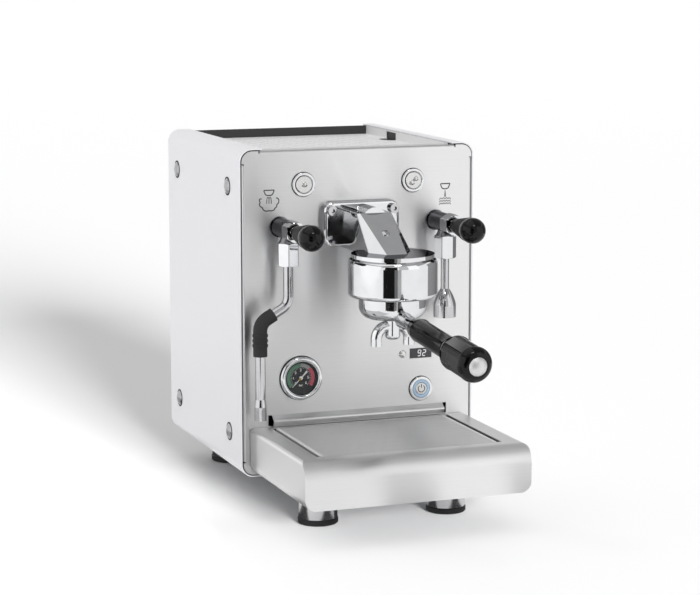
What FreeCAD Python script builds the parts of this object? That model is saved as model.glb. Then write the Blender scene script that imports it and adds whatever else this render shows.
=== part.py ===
import FreeCAD, Part
import math
import os

from FreeCAD import Vector

# Espresso machine with one group, free-standing. Millimetres, +Z up, front towards -Y.
# Pieces are made with x = 0 in the middle, y = 0 on the front panel's face and z = 0 on the floor.
# At the end the whole machine is moved along Y so that the origin is under the middle of its box.
# A name that ends in _UP is a height above the underside of the base plate.

# Clearances
GAP = 0.3                 # between bodies that move past each other
FIT = 0.05                # radial, between a shaft and its hole
HOLE_CLEAR = 0.2          # round what passes through a sheet

# Feet
FOOT_X = 68.2
FOOT_FRONT_Y = -68.0
FOOT_REAR_INSET = 32.5    # rear feet before the back edge
FOOT_H = 34.7             # floor to the base plate
FOOT_R = 19.3
PAD_R = 20.0
PAD_H = 6.0

# Casing
BODY_W = 250.0            # across the side panels
BODY_D = 254.5            # front panel's face to the back edge
BODY_H = 330.0            # side panels, bottom to top
SHEET = 1.2               # casing sheet
CORNER_R = 13.0           # outer corners, seen from the front
SEAM = 1.1                # gap between the side panels and the front and rear panels
SHELL_SETBACK = 0.5       # side panels' front edge behind the front panel's face
RIM_W = 24.0              # side panels' folds at top and bottom, from the outside
FOLD_D = 12.0             # folded edges of the front panel, front to back
FOLD_TOP_D = 3.2          # its folded top edge
FOLD_R = 2.5              # outer radius of those folds
FOLD_RELIEF = 3.0         # cut between a fold and a rounded corner
BASE_T = 2.0
TOP_WEB_T = 1.5           # top frame's sides
UPSTAND_UP = 55.0         # top of the base plate's sides
UPSTAND_Y = 20.0          # front end of those sides
SIDE_SCREW_EDGE = 40.0    # side screws from the panel's top and bottom
SIDE_SCREW_FRONT = 39.6   # front screws behind the front panel's face
SIDE_SCREW_BACK = 34.5    # rear screws before the back edge
SIDE_SCREW_R = 8.5
SIDE_SCREW_DOME = 3.2
SIDE_SHANK_R = 2.5
SIDE_SHANK_L = 7.0

# Top recess and cup tray
RECESS_D = 10.0           # rim to the cup tray's floor
TRAY_SHEET = 1.0
TRAY_SIDE_GAP = 0.5       # cup tray to the rims
TRAY_WALL_DROP = 1.2      # cup tray's walls below the rim
TRAY_FRONT_Y = 9.0
LEDGE_T = 1.2
LEDGE_W = 8.0             # what the cup tray rests on, inwards of the rim
TOP_WEB_H = 40.0          # top frame's sides, downwards
RAIL_D = 13.5             # rear rail's front before the back edge
RAIL_T = 1.2
RAIL_DROP = 0.8           # its top below the rim
SLOT_L = 10.0             # cup tray's slots
SLOT_W = 2.6
SLOT_STEP_X = 20.0
SLOT_STEP_Y = 9.0
SLOT_BORDER = 9.0
NOTCH_R = 14.0            # finger notches
NOTCH_BACK = 90.0         # before the back edge

# Rear panel
VENT_W = 60.0
VENT_H = 4.0
VENT_STEP = 12.0
VENT_COUNT = 8
VENT_X = 60.0
VENT_UP = 190.0
REAR_SCREW_R = 4.5
REAR_SCREW_H = 2.0
REAR_SCREW_EDGE = 14.0
REAR_SHANK_R = 2.0
REAR_SHANK_L = 6.0
INLET_EDGE = 53.0         # inlet's middle from the rear panel's left edge
INLET_UP = 45.0
INLET_W = 28.0
INLET_H = 20.0
INLET_LIP = 4.0           # inlet's frame round the socket
INLET_LIP_T = 2.0
INLET_D = 16.0
INLET_SOCKET_D = 14.0
INLET_PIN_T = 2.0
INLET_PIN_W = 4.0
INLET_PIN_L = 8.0
INLET_PIN_STEP = 7.0

# Drip tray
DRAWER_INSET = 9.0        # tray's sides inwards of the side panels
DRAWER_REACH = 168.0      # front panel's face to the tray's front
DRAWER_BACK = 1.0         # tray's back edge before the front panel
DRAWER_UP = 2.8           # bottom edge
DRAWER_TOP_UP = 48.8
DRAWER_NOSE_R = 17.0      # front top bend
DRAWER_SIDE_R = 4.0       # side top bends
DRAWER_FOOT_R = 11.0      # side bottom bends
DRAWER_FOLD = 16.0        # inward folds at the bottom
TONGUE_CLEAR = 2.0        # base plate's tongue to those folds
TONGUE_REACH = 150.0
GRID_INSET = 24.5         # grid's ends inwards of the tray's sides
GRID_BACK = 7.0           # just past the lip
GRID_FRONT = 141.0
GRID_DROP = 0.4           # grid's top below the rim
GRID_SIDE_GAP = 4.0       # rim to the slats' ends
GRID_END_GAP = 1.0
SLAT_W = 2.2
SLAT_H = 3.0
SLAT_STEP = 4.0
BAR_W = 4.0
BAR_H = 3.2
BAR_INSET = 5.0
BASIN_WALL = 1.2
BASIN_RIM = 6.0
SHELF_W = 12.0            # strips in the basin that the grid's bars rest on
LIP_OVER = 1.0            # front panel's folded drip lip past the grid's ends
LIP_SLOT = 4.0            # slots at its ends
LIP_REACH = 6.0
LIP_TUCK = 1.8            # its lower edge folded back
LIP_H = 11.0
LIP_CLEAR = 0.8           # over the tray

# Brew buttons, power button, lamp and display
BREW_X = 58.5
BREW_UP = 292.0
BREW_R = 12.0
BREW_CAP_R = 8.4
BUTTON_GAP = 0.5          # round a cap in its bezel
POWER_X = 68.0
POWER_UP = 77.3
POWER_R = 12.5
POWER_CAP_R = 6.2
LIGHT_RING_R = 8.9        # outside of the lit ring round the power button's cap
BEZEL_PROUD = 2.6
BEZEL_EDGE = 0.8
BARREL_D = 24.0           # switch bodies behind the panel's face
BARREL_WALL = 1.6
CAP_PROUD = 2.8
CAP_L = 9.0
BUTTON_TRAVEL = 2.5
NUT_H = 3.0
NUT_BEVEL = 30.0          # degrees
NUT_ROUND = 1.6           # along a nut's corners
NUT_MARGIN = 6.0          # a panel nut's width over its barrel's
LAMP_X = 48.0
LAMP_R = 3.8
LAMP_PROUD = 1.2
LAMP_L = 8.0
DISPLAY_UP = 114.0
DISPLAY_W = 23.8
DISPLAY_H = 10.0
DISPLAY_L = 12.0
DISPLAY_RIM = 2.0         # display's shoulder behind the panel

# Pressure gauge
GAUGE_X = -62.0
GAUGE_UP = 96.8
GAUGE_R = 22.0
GAUGE_PROUD = 4.0
GAUGE_CASE_R = 20.0
GAUGE_CASE_D = 26.0
GAUGE_LIP = 4.6           # bezel's width round the glass
GLASS_T = 1.0
GLASS_SEAT = 0.8
DIAL_T = 0.8
DIAL_BACK = 0.6           # dial's back behind the panel's face
NEEDLE_L = 13.0
NEEDLE_TAIL = 9.0
NEEDLE_W = 0.85
NEEDLE_T = 0.6
NEEDLE_LIFT = 0.7         # over the dial
HUB_R = 1.9
ARBOR_R = 0.8
NEEDLE_REST = 225.0       # direction of the needle at zero, degrees from +X towards +Z

# Taps
TAP_X = 83.5
TAP_UP = 250.7
BARREL_R = 9.6
BARREL_L = 35.0
ROSE_R = 10.5             # ring at the barrel's root
ROSE_T = 1.6
THREAD_R = 8.3            # barrel's front, inside the gland nut
THREAD_L = 9.0
LEVER_Y = -40.0           # the lever's ball
BALL_R = 6.5
PIVOT_R = 2.0             # cross pin that the ball turns on
STEM_R = 3.0
GLAND_ACROSS = 19.6
GLAND_L = 17.0
GLAND_THROAT_R = 5.6
GLAND_MOUTH_R = 6.9
KNOB_Y = -95.1
KNOB_R = 12.8
KNOB_NECK_R = 7.6
KNOB_NECK_Y = -55.6
KNOB_RING_L = 2.6
KNOB_RING_COUNT = 2
KNOB_GROOVE = 0.8         # groove after each ring, as deep as it is wide
KNOB_DEPTH = 30.0         # how far the stem goes into the knob
TAIL_R = 8.0              # threaded tail through the panel
TAIL_L = 24.0
LOCK_NUT_ACROSS = 22.0
LOCK_NUT_H = 5.0
UNION_Y = -25.9
UNION_ACROSS = 20.0
UNION_H = 22.7
UNION_TURN_LEFT = -15.0   # degrees that each nut stands turned
UNION_TURN_RIGHT = 19.0
COLLAR_R = 9.6
COLLAR_TOP_R = 6.0
COLLAR_H = 3.2
STUB_R = 8.0
STUB_L = 10.7             # stub inside the union nut
UNION_SEAT = 5.0          # union nut's floor

# Steam wand and water spout
WAND_R = 5.0
WAND_FLANGE_R = 7.6
WAND_FLANGE_H = 3.2
WAND_KNEE_UP = 176.5      # first bend
WAND_OUT = 29.5           # sideways reach to the lower run
WAND_STEP = 17.0          # second bend below the first
WAND_BEND = 14.0
WAND_END_UP = 83.3        # where the tip is screwed on
WAND_TIP_R = 6.0
WAND_TIP_H = 13.5
WAND_TIP_CONE = 7.5
GRIP_R = 7.0
GRIP_DROP = 33.0          # grip's lower end below the second bend
GRIP_SHARE = 0.45         # part of the slanting run that the grip covers
GRIP_RIB_H = 2.4
GRIP_RIB_R = 7.7
GRIP_RIB_STEP = 5.0
GRIP_RIB_COUNT = 3
GRIP_FOOT = 9.5           # plain part below the rings
SPOUT_R = 4.2
SPOUT_BORE_R = 3.0
SPOUT_BELL_R = 11.4
SPOUT_BELL_WALL = 1.2
SPOUT_BELL_UP = 154.9     # bell's mouth
SPOUT_BELL_H = 12.0       # its straight part
SPOUT_FLARE_H = 17.0

# Group
GROUP_Y = -94.2
GROUP_UP = 229.0          # underside of the group's disc
DISC_R = 40.5
DISC_H = 3.6
SPIGOT_R = 36.8
SPIGOT_H = 16.7
GROOVE_H = 1.8            # between disc and bell
BELL_R = 43.6
BELL_TOP_R = 41.8
BELL_H = 36.4
BELL_SHOULDER = 5.0
BELL_ROUND = 4.0          # at its lower edge
GASKET_H = 6.0
GASKET_W = 7.0
SCREEN_R = 28.6
SCREEN_H = 4.0
SCREEN_SCREW_R = 5.0
SCREEN_SCREW_H = 2.0
PAD_W = 80.0              # group's flange on the panel
PAD_TALL = 45.5
PAD_UP = 229.0            # flange's lower edge
PAD_T = 11.0
PAD_CORNER = 10.0
PAD_ROUND = 3.0
NECK_HEEL_W = 48.0        # neck's width at the panel, level with the disc
NECK_CROWN_W = 38.0       # its width at the panel's top end
NECK_FOOT_W = 44.0        # its widest, on the disc
NECK_FOOT_Y = -85.0       # where it is widest
NECK_TOP_W = 32.0         # slope's width at the top
NECK_NOSE_W = 21.0        # slope's width at the front
NECK_REACH = 104.0
NECK_H = 37.3             # neck's top above the disc's underside
NECK_ROUND = 1.5
NECK_SLOPE = 30.0         # degrees
NECK_SLOPE_Y = -46.0      # where the slope starts
HUMP_R = 13.0
HUMP_RISE = 5.5           # over the neck's top
CAP_SCREW_Y = -75.0
CAP_SCREW_R = 3.8
CAP_SCREW_H = 1.8
PAD_BOLT_X = 33.0
PAD_BOLT_DROP = 8.5       # below the flange's top
PAD_BOLT_R = 2.5
PAD_BOLT_HEAD_R = 4.8
PAD_BOLT_HEAD_H = 5.0
PAD_BOLT_SOCKET = 4.0
PAD_BOLT_L = 14.0
INLET_SPIGOT_R = 11.0     # group's tail through the panel
INLET_SPIGOT_UP = 247.3

# Portafilter
BOWL_R = 33.0
BOWL_H = 36.7
BOWL_WALL = 3.0
BOWL_ROUND = 12.0
BOWL_FLOOR = 4.5
LIP_FIT = 0.6             # bowl to the bell's inner lip
LUG_REACH = 3.4
LUG_H = 4.4
LUG_DROP = 4.7            # lug's top below the rim
LUG_ANGLE = 36.0
LUG_AT = 65.0             # a lug's middle when locked, degrees from +X
LOCK_TURN = 50.0
BASKET_WALL = 0.8
BASKET_GAP = 0.4
BASKET_H = 25.0
BASKET_RIM = 2.4          # rim's overhang on the bowl
NIPPLE_R = 5.0
NIPPLE_L = 15.0
HUB_OUT_R = 7.3
HUB_L = 21.0
HUB_ROUND = 4.0
SPOUT_TUBE_R = 5.5
SPOUT_TUBE_BORE = 4.2
SPOUT_SPREAD = 17.0
SPOUT_DROP = 8.0          # tubes' axis below the bowl
SPOUT_TIP_DROP = 27.0
SPOUT_TUBE_BEND = 12.0
HANDLE_UP = 173.8         # handle's axis at the group's axis
HANDLE_TILT = 4.5         # degrees
NECK_ROOT = 16.0          # distances along the handle from the group's axis
NECK_START = 28.0
GRIP_START = 62.0
GRIP_L = 83.0
GRIP_HANDLE_R = 11.5
FERRULE_L = 3.0
FERRULE_R = 10.6
POMMEL_L = 59.5
POMMEL_R = 16.7
POMMEL_ROUND = 9.0
FLAT_COUNT = 6            # flats along the handle
FLAT_SHARE = 0.955        # a flat's distance from the axis, of the radius
RIB_COUNT = 4             # fine grooves on each rounded corner between flats
RIB_TURN = 5.0            # degrees between them
RIB_R = 0.5
END_CAP_R = 8.7
END_CAP_H = 4.4
NECK_R = 8.5
NECK_WAIST_R = 6.6
STUD_R = 4.0

# Inside
BOILER_FRONT = 50.0       # front panel's face to the boiler
BOILER_TO_TANK = 12.0
BOILER_UP = 215.3
BOILER_WALL = 1.5
BOILER_CAP_T = 4.0
BOILER_PIPE_RUN = 13.0    # boiler's ends to the pipes beside it
PORT_SHARE = 0.72         # hot water port below the boiler's axis, of its radius
ELEMENT_R = 4.0
ELEMENT_SPREAD = 30.0
ELEMENT_SHORT = 18.0      # element's bend before the boiler's far end
STAND_X = 25.0
STAND_T = 2.0
STAND_SHARE = 1.6         # stand's depth, of the boiler's radius
STAND_WRAP = 18.0         # stand's top below the boiler's axis
PIPE_R = 4.0
PIPE_WALL = 1.0
PIPE_BEND = 8.0
VALVE_W = 30.0            # solenoid valve behind the group
VALVE_D = 28.0
VALVE_LOW = 12.0          # valve block below the boiler's axis
VALVE_HIGH = 12.0         # valve block over the group's tail
COIL_R = 14.0
COIL_H = 38.0
PUMP_SIDE = 33.0          # pump's axis inwards of the tank's side
PUMP_W = 42.0
PUMP_SHARE = 1.12         # pump's depth, of the boiler's radius
PUMP_H = 46.0
CRADLE_H = 12.0
CRADLE_OVER = 4.0
PUMP_NECK_R = 7.0
PUMP_NECK_H = 7.0
PUMP_TAIL_R = 5.0
PUMP_TAIL_L = 9.0
HOSE_R = 5.0
HOSE_WALL = 1.2
HOSE_BEND = 7.0
CONTROL_SIDE = 12.4       # control box to the side panel
CONTROL_W = 52.0
CONTROL_Y0 = 60.0
CONTROL_TO_TANK = 14.0
CONTROL_H = 100.0
CONTROL_ROUND = 3.0
TANK_SIDE = 32.8          # tank to the side panels
TANK_D = 74.5
TANK_BACK = 18.0          # tank to the back edge
TANK_UP = 25.0
TANK_H = 270.0
TANK_WALL = 2.5
TANK_ROUND = 8.0
OUTLET_R = 6.0
OUTLET_L = 9.0
OUTLET_IN = 33.0          # outlet behind the tank's front
SOCKET_R = 13.0
SOCKET_TAIL_L = 10.0
SOCKET_TAIL_UP = 11.0
TANK_SHELF_T = 1.2

# Heights and edges that follow from these
FLOOR_Z = FOOT_H + BASE_T
HALF_W = BODY_W / 2
SHELL_Z0 = FOOT_H - SHEET
SHELL_Z1 = SHELL_Z0 + BODY_H
INNER_HALF_W = HALF_W - SHEET
PANEL_HALF_W = INNER_HALF_W - SEAM
PANEL_Z0 = SHELL_Z0 + SHEET + SEAM
PANEL_Z1 = SHELL_Z1 - SHEET - SEAM
PANEL_R = CORNER_R - SHEET - SEAM
RIM_X = HALF_W - RIM_W
TRAY_FLOOR_Z = SHELL_Z1 - RECESS_D
LEDGE_Z1 = TRAY_FLOOR_Z - TRAY_SHEET - GAP
LEDGE_Z0 = LEDGE_Z1 - LEDGE_T
REAR_FACE_Y = BODY_D - SHEET
FOOT_REAR_Y = BODY_D - FOOT_REAR_INSET
RAIL_Y = BODY_D - RAIL_D
NOTCH_Y = BODY_D - NOTCH_BACK
INLET_X = INLET_EDGE - PANEL_HALF_W
DRAWER_Z0 = FOOT_H + DRAWER_UP
DRAWER_Z1 = FOOT_H + DRAWER_TOP_UP
DRAWER_HALF_W = HALF_W - DRAWER_INSET
GRID_HALF_W = DRAWER_HALF_W - GRID_INSET
LIP_HALF_W = GRID_HALF_W + LIP_OVER
TONGUE_HALF_W = DRAWER_HALF_W - DRAWER_FOLD - TONGUE_CLEAR
LIP_Z0 = DRAWER_Z1 + LIP_CLEAR
LIP_Z1 = LIP_Z0 + LIP_H
GRID_Z1 = DRAWER_Z1 - GRID_DROP
GRID_Z0 = GRID_Z1 - SLAT_H - BAR_H
OPENING_HALF_W = GRID_HALF_W + GRID_SIDE_GAP
BREW_Z = FOOT_H + BREW_UP
POWER_Z = FOOT_H + POWER_UP
DISPLAY_Z = FOOT_H + DISPLAY_UP
GAUGE_Z = FOOT_H + GAUGE_UP
TAP_Z = FOOT_H + TAP_UP
UNION_Z1 = TAP_Z - BARREL_R - COLLAR_H
UNION_Z0 = UNION_Z1 - UNION_H
GROUP_Z = FOOT_H + GROUP_UP
SPIGOT_Z = GROUP_Z - SPIGOT_H
BELL_Z1 = GROUP_Z - GROOVE_H
BELL_Z0 = BELL_Z1 - BELL_H
RIM_Z = SPIGOT_Z - GASKET_H - GAP
BOWL_Z = RIM_Z - BOWL_H
LUG_Z1 = RIM_Z - LUG_DROP
LUG_Z0 = LUG_Z1 - LUG_H
NECK_Z1 = GROUP_Z + NECK_H
INLET_SPIGOT_Z = FOOT_H + INLET_SPIGOT_UP
HANDLE_BASE = Vector(0, GROUP_Y, FOOT_H + HANDLE_UP)
HANDLE_DIR = Vector(0, -math.cos(math.radians(HANDLE_TILT)), -math.sin(math.radians(HANDLE_TILT)))
BOILER_Z = FOOT_H + BOILER_UP
BOILER_HALF_L = TAP_X - BOILER_PIPE_RUN - BOILER_CAP_T
TANK_HALF_W = INNER_HALF_W - TANK_SIDE
TANK_Z = FOOT_H + TANK_UP
PUMP_Z0 = FLOOR_Z + CRADLE_H
PUMP_AXIS_Z = PUMP_Z0 + PUMP_H / 2
TANK_Y1 = BODY_D - TANK_BACK
TANK_Y0 = TANK_Y1 - TANK_D
BOILER_R = (TANK_Y0 - BOILER_TO_TANK - BOILER_FRONT) / 2
BOILER_Y = BOILER_FRONT + BOILER_R
PUMP_D = BOILER_R * PUMP_SHARE
PUMP_Y0 = BOILER_Y - PUMP_D / 2
PUMP_X = TANK_HALF_W - PUMP_SIDE
HOSE_DIP_Y = (PUMP_Y0 + PUMP_D + PUMP_TAIL_L + TANK_Y0) / 2
OUTLET_Y = TANK_Y0 + OUTLET_IN
CONTROL_X0 = CONTROL_SIDE - INNER_HALF_W
CONTROL_D = TANK_Y0 - CONTROL_TO_TANK - CONTROL_Y0
FORWARD = Vector(0, -1, 0)
BACK = Vector(0, 1, 0)
UP = Vector(0, 0, 1)
DOWN = Vector(0, 0, -1)
RIGHT = Vector(1, 0, 0)
ORIGIN = Vector(0, 0, 0)


def block(x0, x1, y0, y1, z0, z1):
    return Part.makeBox(x1 - x0, y1 - y0, z1 - z0, Vector(x0, y0, z0))


def rod(radius, length, base, direction):
    return Part.makeCylinder(radius, length, base, direction)


def placed(shape, base, direction):
    """Turn a shape made along +Z to a direction, and set it at a base point."""
    turn = FreeCAD.Rotation(UP, direction)
    shape.Placement = FreeCAD.Placement(base, turn)
    return shape


def outline(points):
    """Closed wire in the XZ plane through (x, z) points; (x, z, mid_x, mid_z) ends an arc."""
    edges = []
    start = Vector(points[-1][0], 0, points[-1][1])
    for point in points:
        end = Vector(point[0], 0, point[1])
        if len(point) == 4:
            middle = Vector(point[2], 0, point[3])
            edges.append(Part.Arc(start, middle, end).toShape())
        else:
            edges.append(Part.makeLine(start, end))
        start = end
    return Part.Wire(edges)


def turned(points, base, direction):
    """Solid of revolution from (radius, height) points, its height along a direction."""
    solid = Part.Face(outline(points)).revolve(ORIGIN, UP, 360)
    return placed(solid, base, direction)


def rounded_outline(x0, x1, z0, z1, radius):
    inset = radius * (1 - math.sqrt(0.5))
    return outline([
        (x1 - radius, z0),
        (x1, z0 + radius, x1 - inset, z0 + inset),
        (x1, z1 - radius),
        (x1 - radius, z1, x1 - inset, z1 - inset),
        (x0 + radius, z1),
        (x0, z1 - radius, x0 + inset, z1 - inset),
        (x0, z0 + radius),
        (x0 + radius, z0, x0 + inset, z0 + inset),
    ])


def rounded_plate(x0, x1, z0, z1, y0, y1, radius):
    plate = Part.Face(rounded_outline(x0, x1, z0, z1, radius)).extrude(Vector(0, y1 - y0, 0))
    plate.translate(Vector(0, y0, 0))
    return plate


def hex_rod(across, length, base, direction):
    radius = across / math.sqrt(3)
    angles = [math.radians(60 * corner + 30) for corner in range(7)]
    ring = Part.makePolygon([Vector(radius * math.cos(a), radius * math.sin(a), 0) for a in angles])
    return placed(Part.Face(ring).extrude(Vector(0, 0, length)), base, direction)


def hex_nut(across, height, bore, base, direction):
    """Hexagon nut with rounded corners that are bevelled at both ends."""
    sharp = hex_rod(across, height, base, direction)
    corners = [edge for edge in sharp.Edges if edge.tangentAt(0).cross(direction).Length < FIT]
    nut = sharp.makeFillet(NUT_ROUND, corners)
    flat = across / 2
    corner = across / math.sqrt(3)
    bevel = (corner - flat) * math.tan(math.radians(NUT_BEVEL))
    spun = turned([
        (0, 0),
        (flat, 0),
        (corner, bevel),
        (corner, height - bevel),
        (flat, height),
        (0, height),
    ], base, direction)
    return nut.common(spun).cut(rod(bore, height, base, direction))


def bent_path(points, bend):
    """Straight runs joined by tangent arcs."""
    edges = []
    start = points[0]
    for before, corner, after in zip(points, points[1:], points[2:]):
        heading = (corner - before).normalize()
        leaving = (after - corner).normalize()
        turn = heading.getAngle(leaving)
        reach = bend * math.tan(turn / 2)
        inward = (leaving - heading).normalize()
        arc_start = corner - heading * reach
        arc_end = corner + leaving * reach
        arc_middle = corner + inward * (bend / math.cos(turn / 2) - bend)
        edges.append(Part.makeLine(start, arc_start))
        edges.append(Part.Arc(arc_start, arc_middle, arc_end).toShape())
        start = arc_end
    edges.append(Part.makeLine(start, points[-1]))
    return Part.Wire(edges)


def bent_rod(points, radius, bend):
    heading = (points[1] - points[0]).normalize()
    ring = Part.Wire(Part.makeCircle(radius, points[0], heading))
    return bent_path(points, bend).makePipeShell([ring], True, False)


def bent_tube(points, radius, wall, bend):
    return bent_rod(points, radius, bend).cut(bent_rod(points, radius - wall, bend))


def both_sides(shape):
    """A piece on the right and its mirror image on the left."""
    return Part.makeCompound([shape, shape.mirror(ORIGIN, RIGHT)])


def dome_end(radius, height):
    """Last profile point of a turned piece that ends in a spherical cap over height 0."""
    ball = (radius ** 2 + height ** 2) / (2 * height)
    middle = radius / 2
    return (0, height, middle, height - ball + math.sqrt(ball ** 2 - middle ** 2))


def dome_screw(head_r, head_h, shank_r, shank_l, base, direction):
    """Round-headed screw; base is where the head seats, and direction points out of it."""
    return turned([
        (0, -shank_l),
        (shank_r, -shank_l),
        (shank_r, 0),
        (head_r, 0),
        dome_end(head_r, head_h),
    ], base, direction)


def side_screw_seats():
    places = []
    for y in (SIDE_SCREW_FRONT, BODY_D - SIDE_SCREW_BACK):
        for z in (SHELL_Z0 + SIDE_SCREW_EDGE, SHELL_Z1 - SIDE_SCREW_EDGE):
            places.append(Vector(HALF_W, y, z))
    return places


def side_screw_holes():
    """Drillings for the screws of the right-hand side."""
    reach = SIDE_SHANK_L + 2 * BASE_T
    return [rod(SIDE_SHANK_R + FIT, reach, seat - RIGHT * reach, RIGHT) for seat in side_screw_seats()]


def side_panel_right():
    length = BODY_D - SHELL_SETBACK
    outer = rounded_plate(-HALF_W, HALF_W, SHELL_Z0, SHELL_Z1, SHELL_SETBACK, BODY_D, CORNER_R)
    inner = rounded_plate(-INNER_HALF_W, INNER_HALF_W, SHELL_Z0 + SHEET, SHELL_Z1 - SHEET,
                          SHELL_SETBACK, BODY_D, CORNER_R - SHEET)
    side = block(RIM_X, HALF_W, SHELL_SETBACK, SHELL_SETBACK + length, SHELL_Z0, SHELL_Z1)
    return outer.cut(inner).common(side).cut(side_screw_holes())


def side_panel_left():
    return side_panel_right().mirror(ORIGIN, RIGHT)


def casing_screws():
    """Round-headed screws in the side panels and smaller ones in the rear panel."""
    screws = []
    for seat in side_screw_seats():
        screw = dome_screw(SIDE_SCREW_R, SIDE_SCREW_DOME, SIDE_SHANK_R, SIDE_SHANK_L, seat, RIGHT)
        screws.append(screw)
        screws.append(screw.mirror(ORIGIN, RIGHT))
    for seat in rear_screw_seats():
        screws.append(dome_screw(REAR_SCREW_R, REAR_SCREW_H, REAR_SHANK_R, REAR_SHANK_L, seat, BACK))
    return Part.makeCompound(screws)


def fold_profile(depth):
    """Section of a folded edge: x from the outside in, z from the face back."""
    inner_r = FOLD_R - SHEET
    outer_mid = FOLD_R * (1 - math.sqrt(0.5))
    inner_mid = FOLD_R - inner_r * math.sqrt(0.5)
    return outline([
        (FOLD_R, SHEET),
        (SHEET, FOLD_R, inner_mid, inner_mid),
        (SHEET, depth),
        (0, depth),
        (0, FOLD_R),
        (FOLD_R, 0, outer_mid, outer_mid),
    ])


def side_fold():
    """Folded right edge of the front panel."""
    z0 = PANEL_Z0 + PANEL_R + FOLD_RELIEF
    z1 = PANEL_Z1 - PANEL_R - FOLD_RELIEF
    section = Part.Face(fold_profile(FOLD_D))
    section.rotate(ORIGIN, RIGHT, -90)
    fold = section.extrude(Vector(0, 0, z1 - z0)).mirror(ORIGIN, RIGHT)
    fold.translate(Vector(PANEL_HALF_W, 0, z0))
    return fold, block(PANEL_HALF_W - FOLD_R, PANEL_HALF_W, 0, SHEET, z0 - SHEET, z1 + SHEET)


def top_fold():
    """Folded top edge of the front panel."""
    half = RIM_X + FOLD_RELIEF
    section = Part.Face(fold_profile(FOLD_TOP_D))
    section.rotate(ORIGIN, RIGHT, -90)
    section.rotate(ORIGIN, BACK, 90)
    fold = section.extrude(Vector(2 * half, 0, 0))
    fold.translate(Vector(-half, 0, PANEL_Z1))
    return fold, block(-half - SHEET, half + SHEET, 0, SHEET, PANEL_Z1 - FOLD_R, PANEL_Z1)


def drip_lip():
    """Lip folded forward out of the front panel, over the drip tray's back edge."""
    nose = LIP_REACH / 2
    inset = nose * (1 - math.sqrt(0.5))
    in_nose = nose - SHEET
    in_inset = nose - in_nose * math.sqrt(0.5)
    section = Part.Face(outline([
        (SHEET, LIP_Z1),
        (0, LIP_Z1),
        (-LIP_REACH + nose, LIP_Z1 - nose),
        (-LIP_REACH, LIP_Z1 - 2 * nose, -LIP_REACH + inset, LIP_Z1 - nose - inset),
        (-LIP_REACH + LIP_TUCK, LIP_Z0),
        (-LIP_REACH + LIP_TUCK + SHEET, LIP_Z0),
        (-LIP_REACH + SHEET, LIP_Z1 - 2 * nose),
        (-LIP_REACH + nose, LIP_Z1 - nose - SHEET, -LIP_REACH + in_inset, LIP_Z1 - nose - in_inset),
        (0, LIP_Z1 - SHEET),
        (SHEET, LIP_Z1 - SHEET),
    ]))
    section.rotate(ORIGIN, UP, 90)
    lip = section.extrude(Vector(2 * LIP_HALF_W, 0, 0))
    lip.translate(Vector(-LIP_HALF_W, 0, 0))
    return lip


def panel_holes():
    """What the front panel is cut out for."""
    holes = []
    for x, z, radius in (
        (BREW_X, BREW_Z, BREW_CAP_R + BUTTON_GAP + BARREL_WALL),
        (-BREW_X, BREW_Z, BREW_CAP_R + BUTTON_GAP + BARREL_WALL),
        (POWER_X, POWER_Z, LIGHT_RING_R + BARREL_WALL),
        (LAMP_X, DISPLAY_Z, LAMP_R),
        (GAUGE_X, GAUGE_Z, GAUGE_CASE_R),
        (TAP_X, TAP_Z, TAIL_R),
        (-TAP_X, TAP_Z, TAIL_R),
        (0, INLET_SPIGOT_Z, INLET_SPIGOT_R),
    ):
        holes.append(rod(radius + HOLE_CLEAR, SHEET, Vector(x, 0, z), BACK))
    for seat in pad_bolt_seats():
        holes.append(rod(PAD_BOLT_R + HOLE_CLEAR, PAD_T + SHEET, seat, BACK))
    holes.append(block(POWER_X - DISPLAY_W / 2 - HOLE_CLEAR, POWER_X + DISPLAY_W / 2 + HOLE_CLEAR, 0, SHEET,
                       DISPLAY_Z - DISPLAY_H / 2 - HOLE_CLEAR, DISPLAY_Z + DISPLAY_H / 2 + HOLE_CLEAR))
    holes.append(block(-LIP_HALF_W - LIP_SLOT, LIP_HALF_W + LIP_SLOT, 0, SHEET, LIP_Z0, LIP_Z1))
    holes.append(block(-TONGUE_HALF_W - GAP, TONGUE_HALF_W + GAP, 0, SHEET, PANEL_Z0, FLOOR_Z + GAP))
    return holes


def front_panel():
    face = rounded_plate(-PANEL_HALF_W, PANEL_HALF_W, PANEL_Z0, PANEL_Z1, 0, SHEET, PANEL_R)
    right_fold, right_strip = side_fold()
    upper_fold, upper_strip = top_fold()
    left_fold = right_fold.mirror(ORIGIN, RIGHT)
    left_strip = right_strip.mirror(ORIGIN, RIGHT)
    face = face.cut([right_strip, left_strip, upper_strip] + panel_holes())
    return face.fuse([right_fold, left_fold, upper_fold, drip_lip()]).removeSplitter()


def rear_screw_seats():
    seats = []
    for x in (-PANEL_HALF_W + REAR_SCREW_EDGE, PANEL_HALF_W - REAR_SCREW_EDGE):
        for z in (PANEL_Z0 + REAR_SCREW_EDGE, PANEL_Z1 - REAR_SCREW_EDGE - RECESS_D):
            seats.append(Vector(x, BODY_D, z))
    return seats


def rear_screw_holes():
    return [rod(REAR_SHANK_R + FIT, REAR_SHANK_L, seat, FORWARD) for seat in rear_screw_seats()]


def rear_tab(z0, z1):
    """Flange of a frame that the rear panel is screwed to."""
    half = INNER_HALF_W - CORNER_R
    back = REAR_FACE_Y - GAP
    return block(-half, half, back - BASE_T, back, z0, z1)


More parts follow.
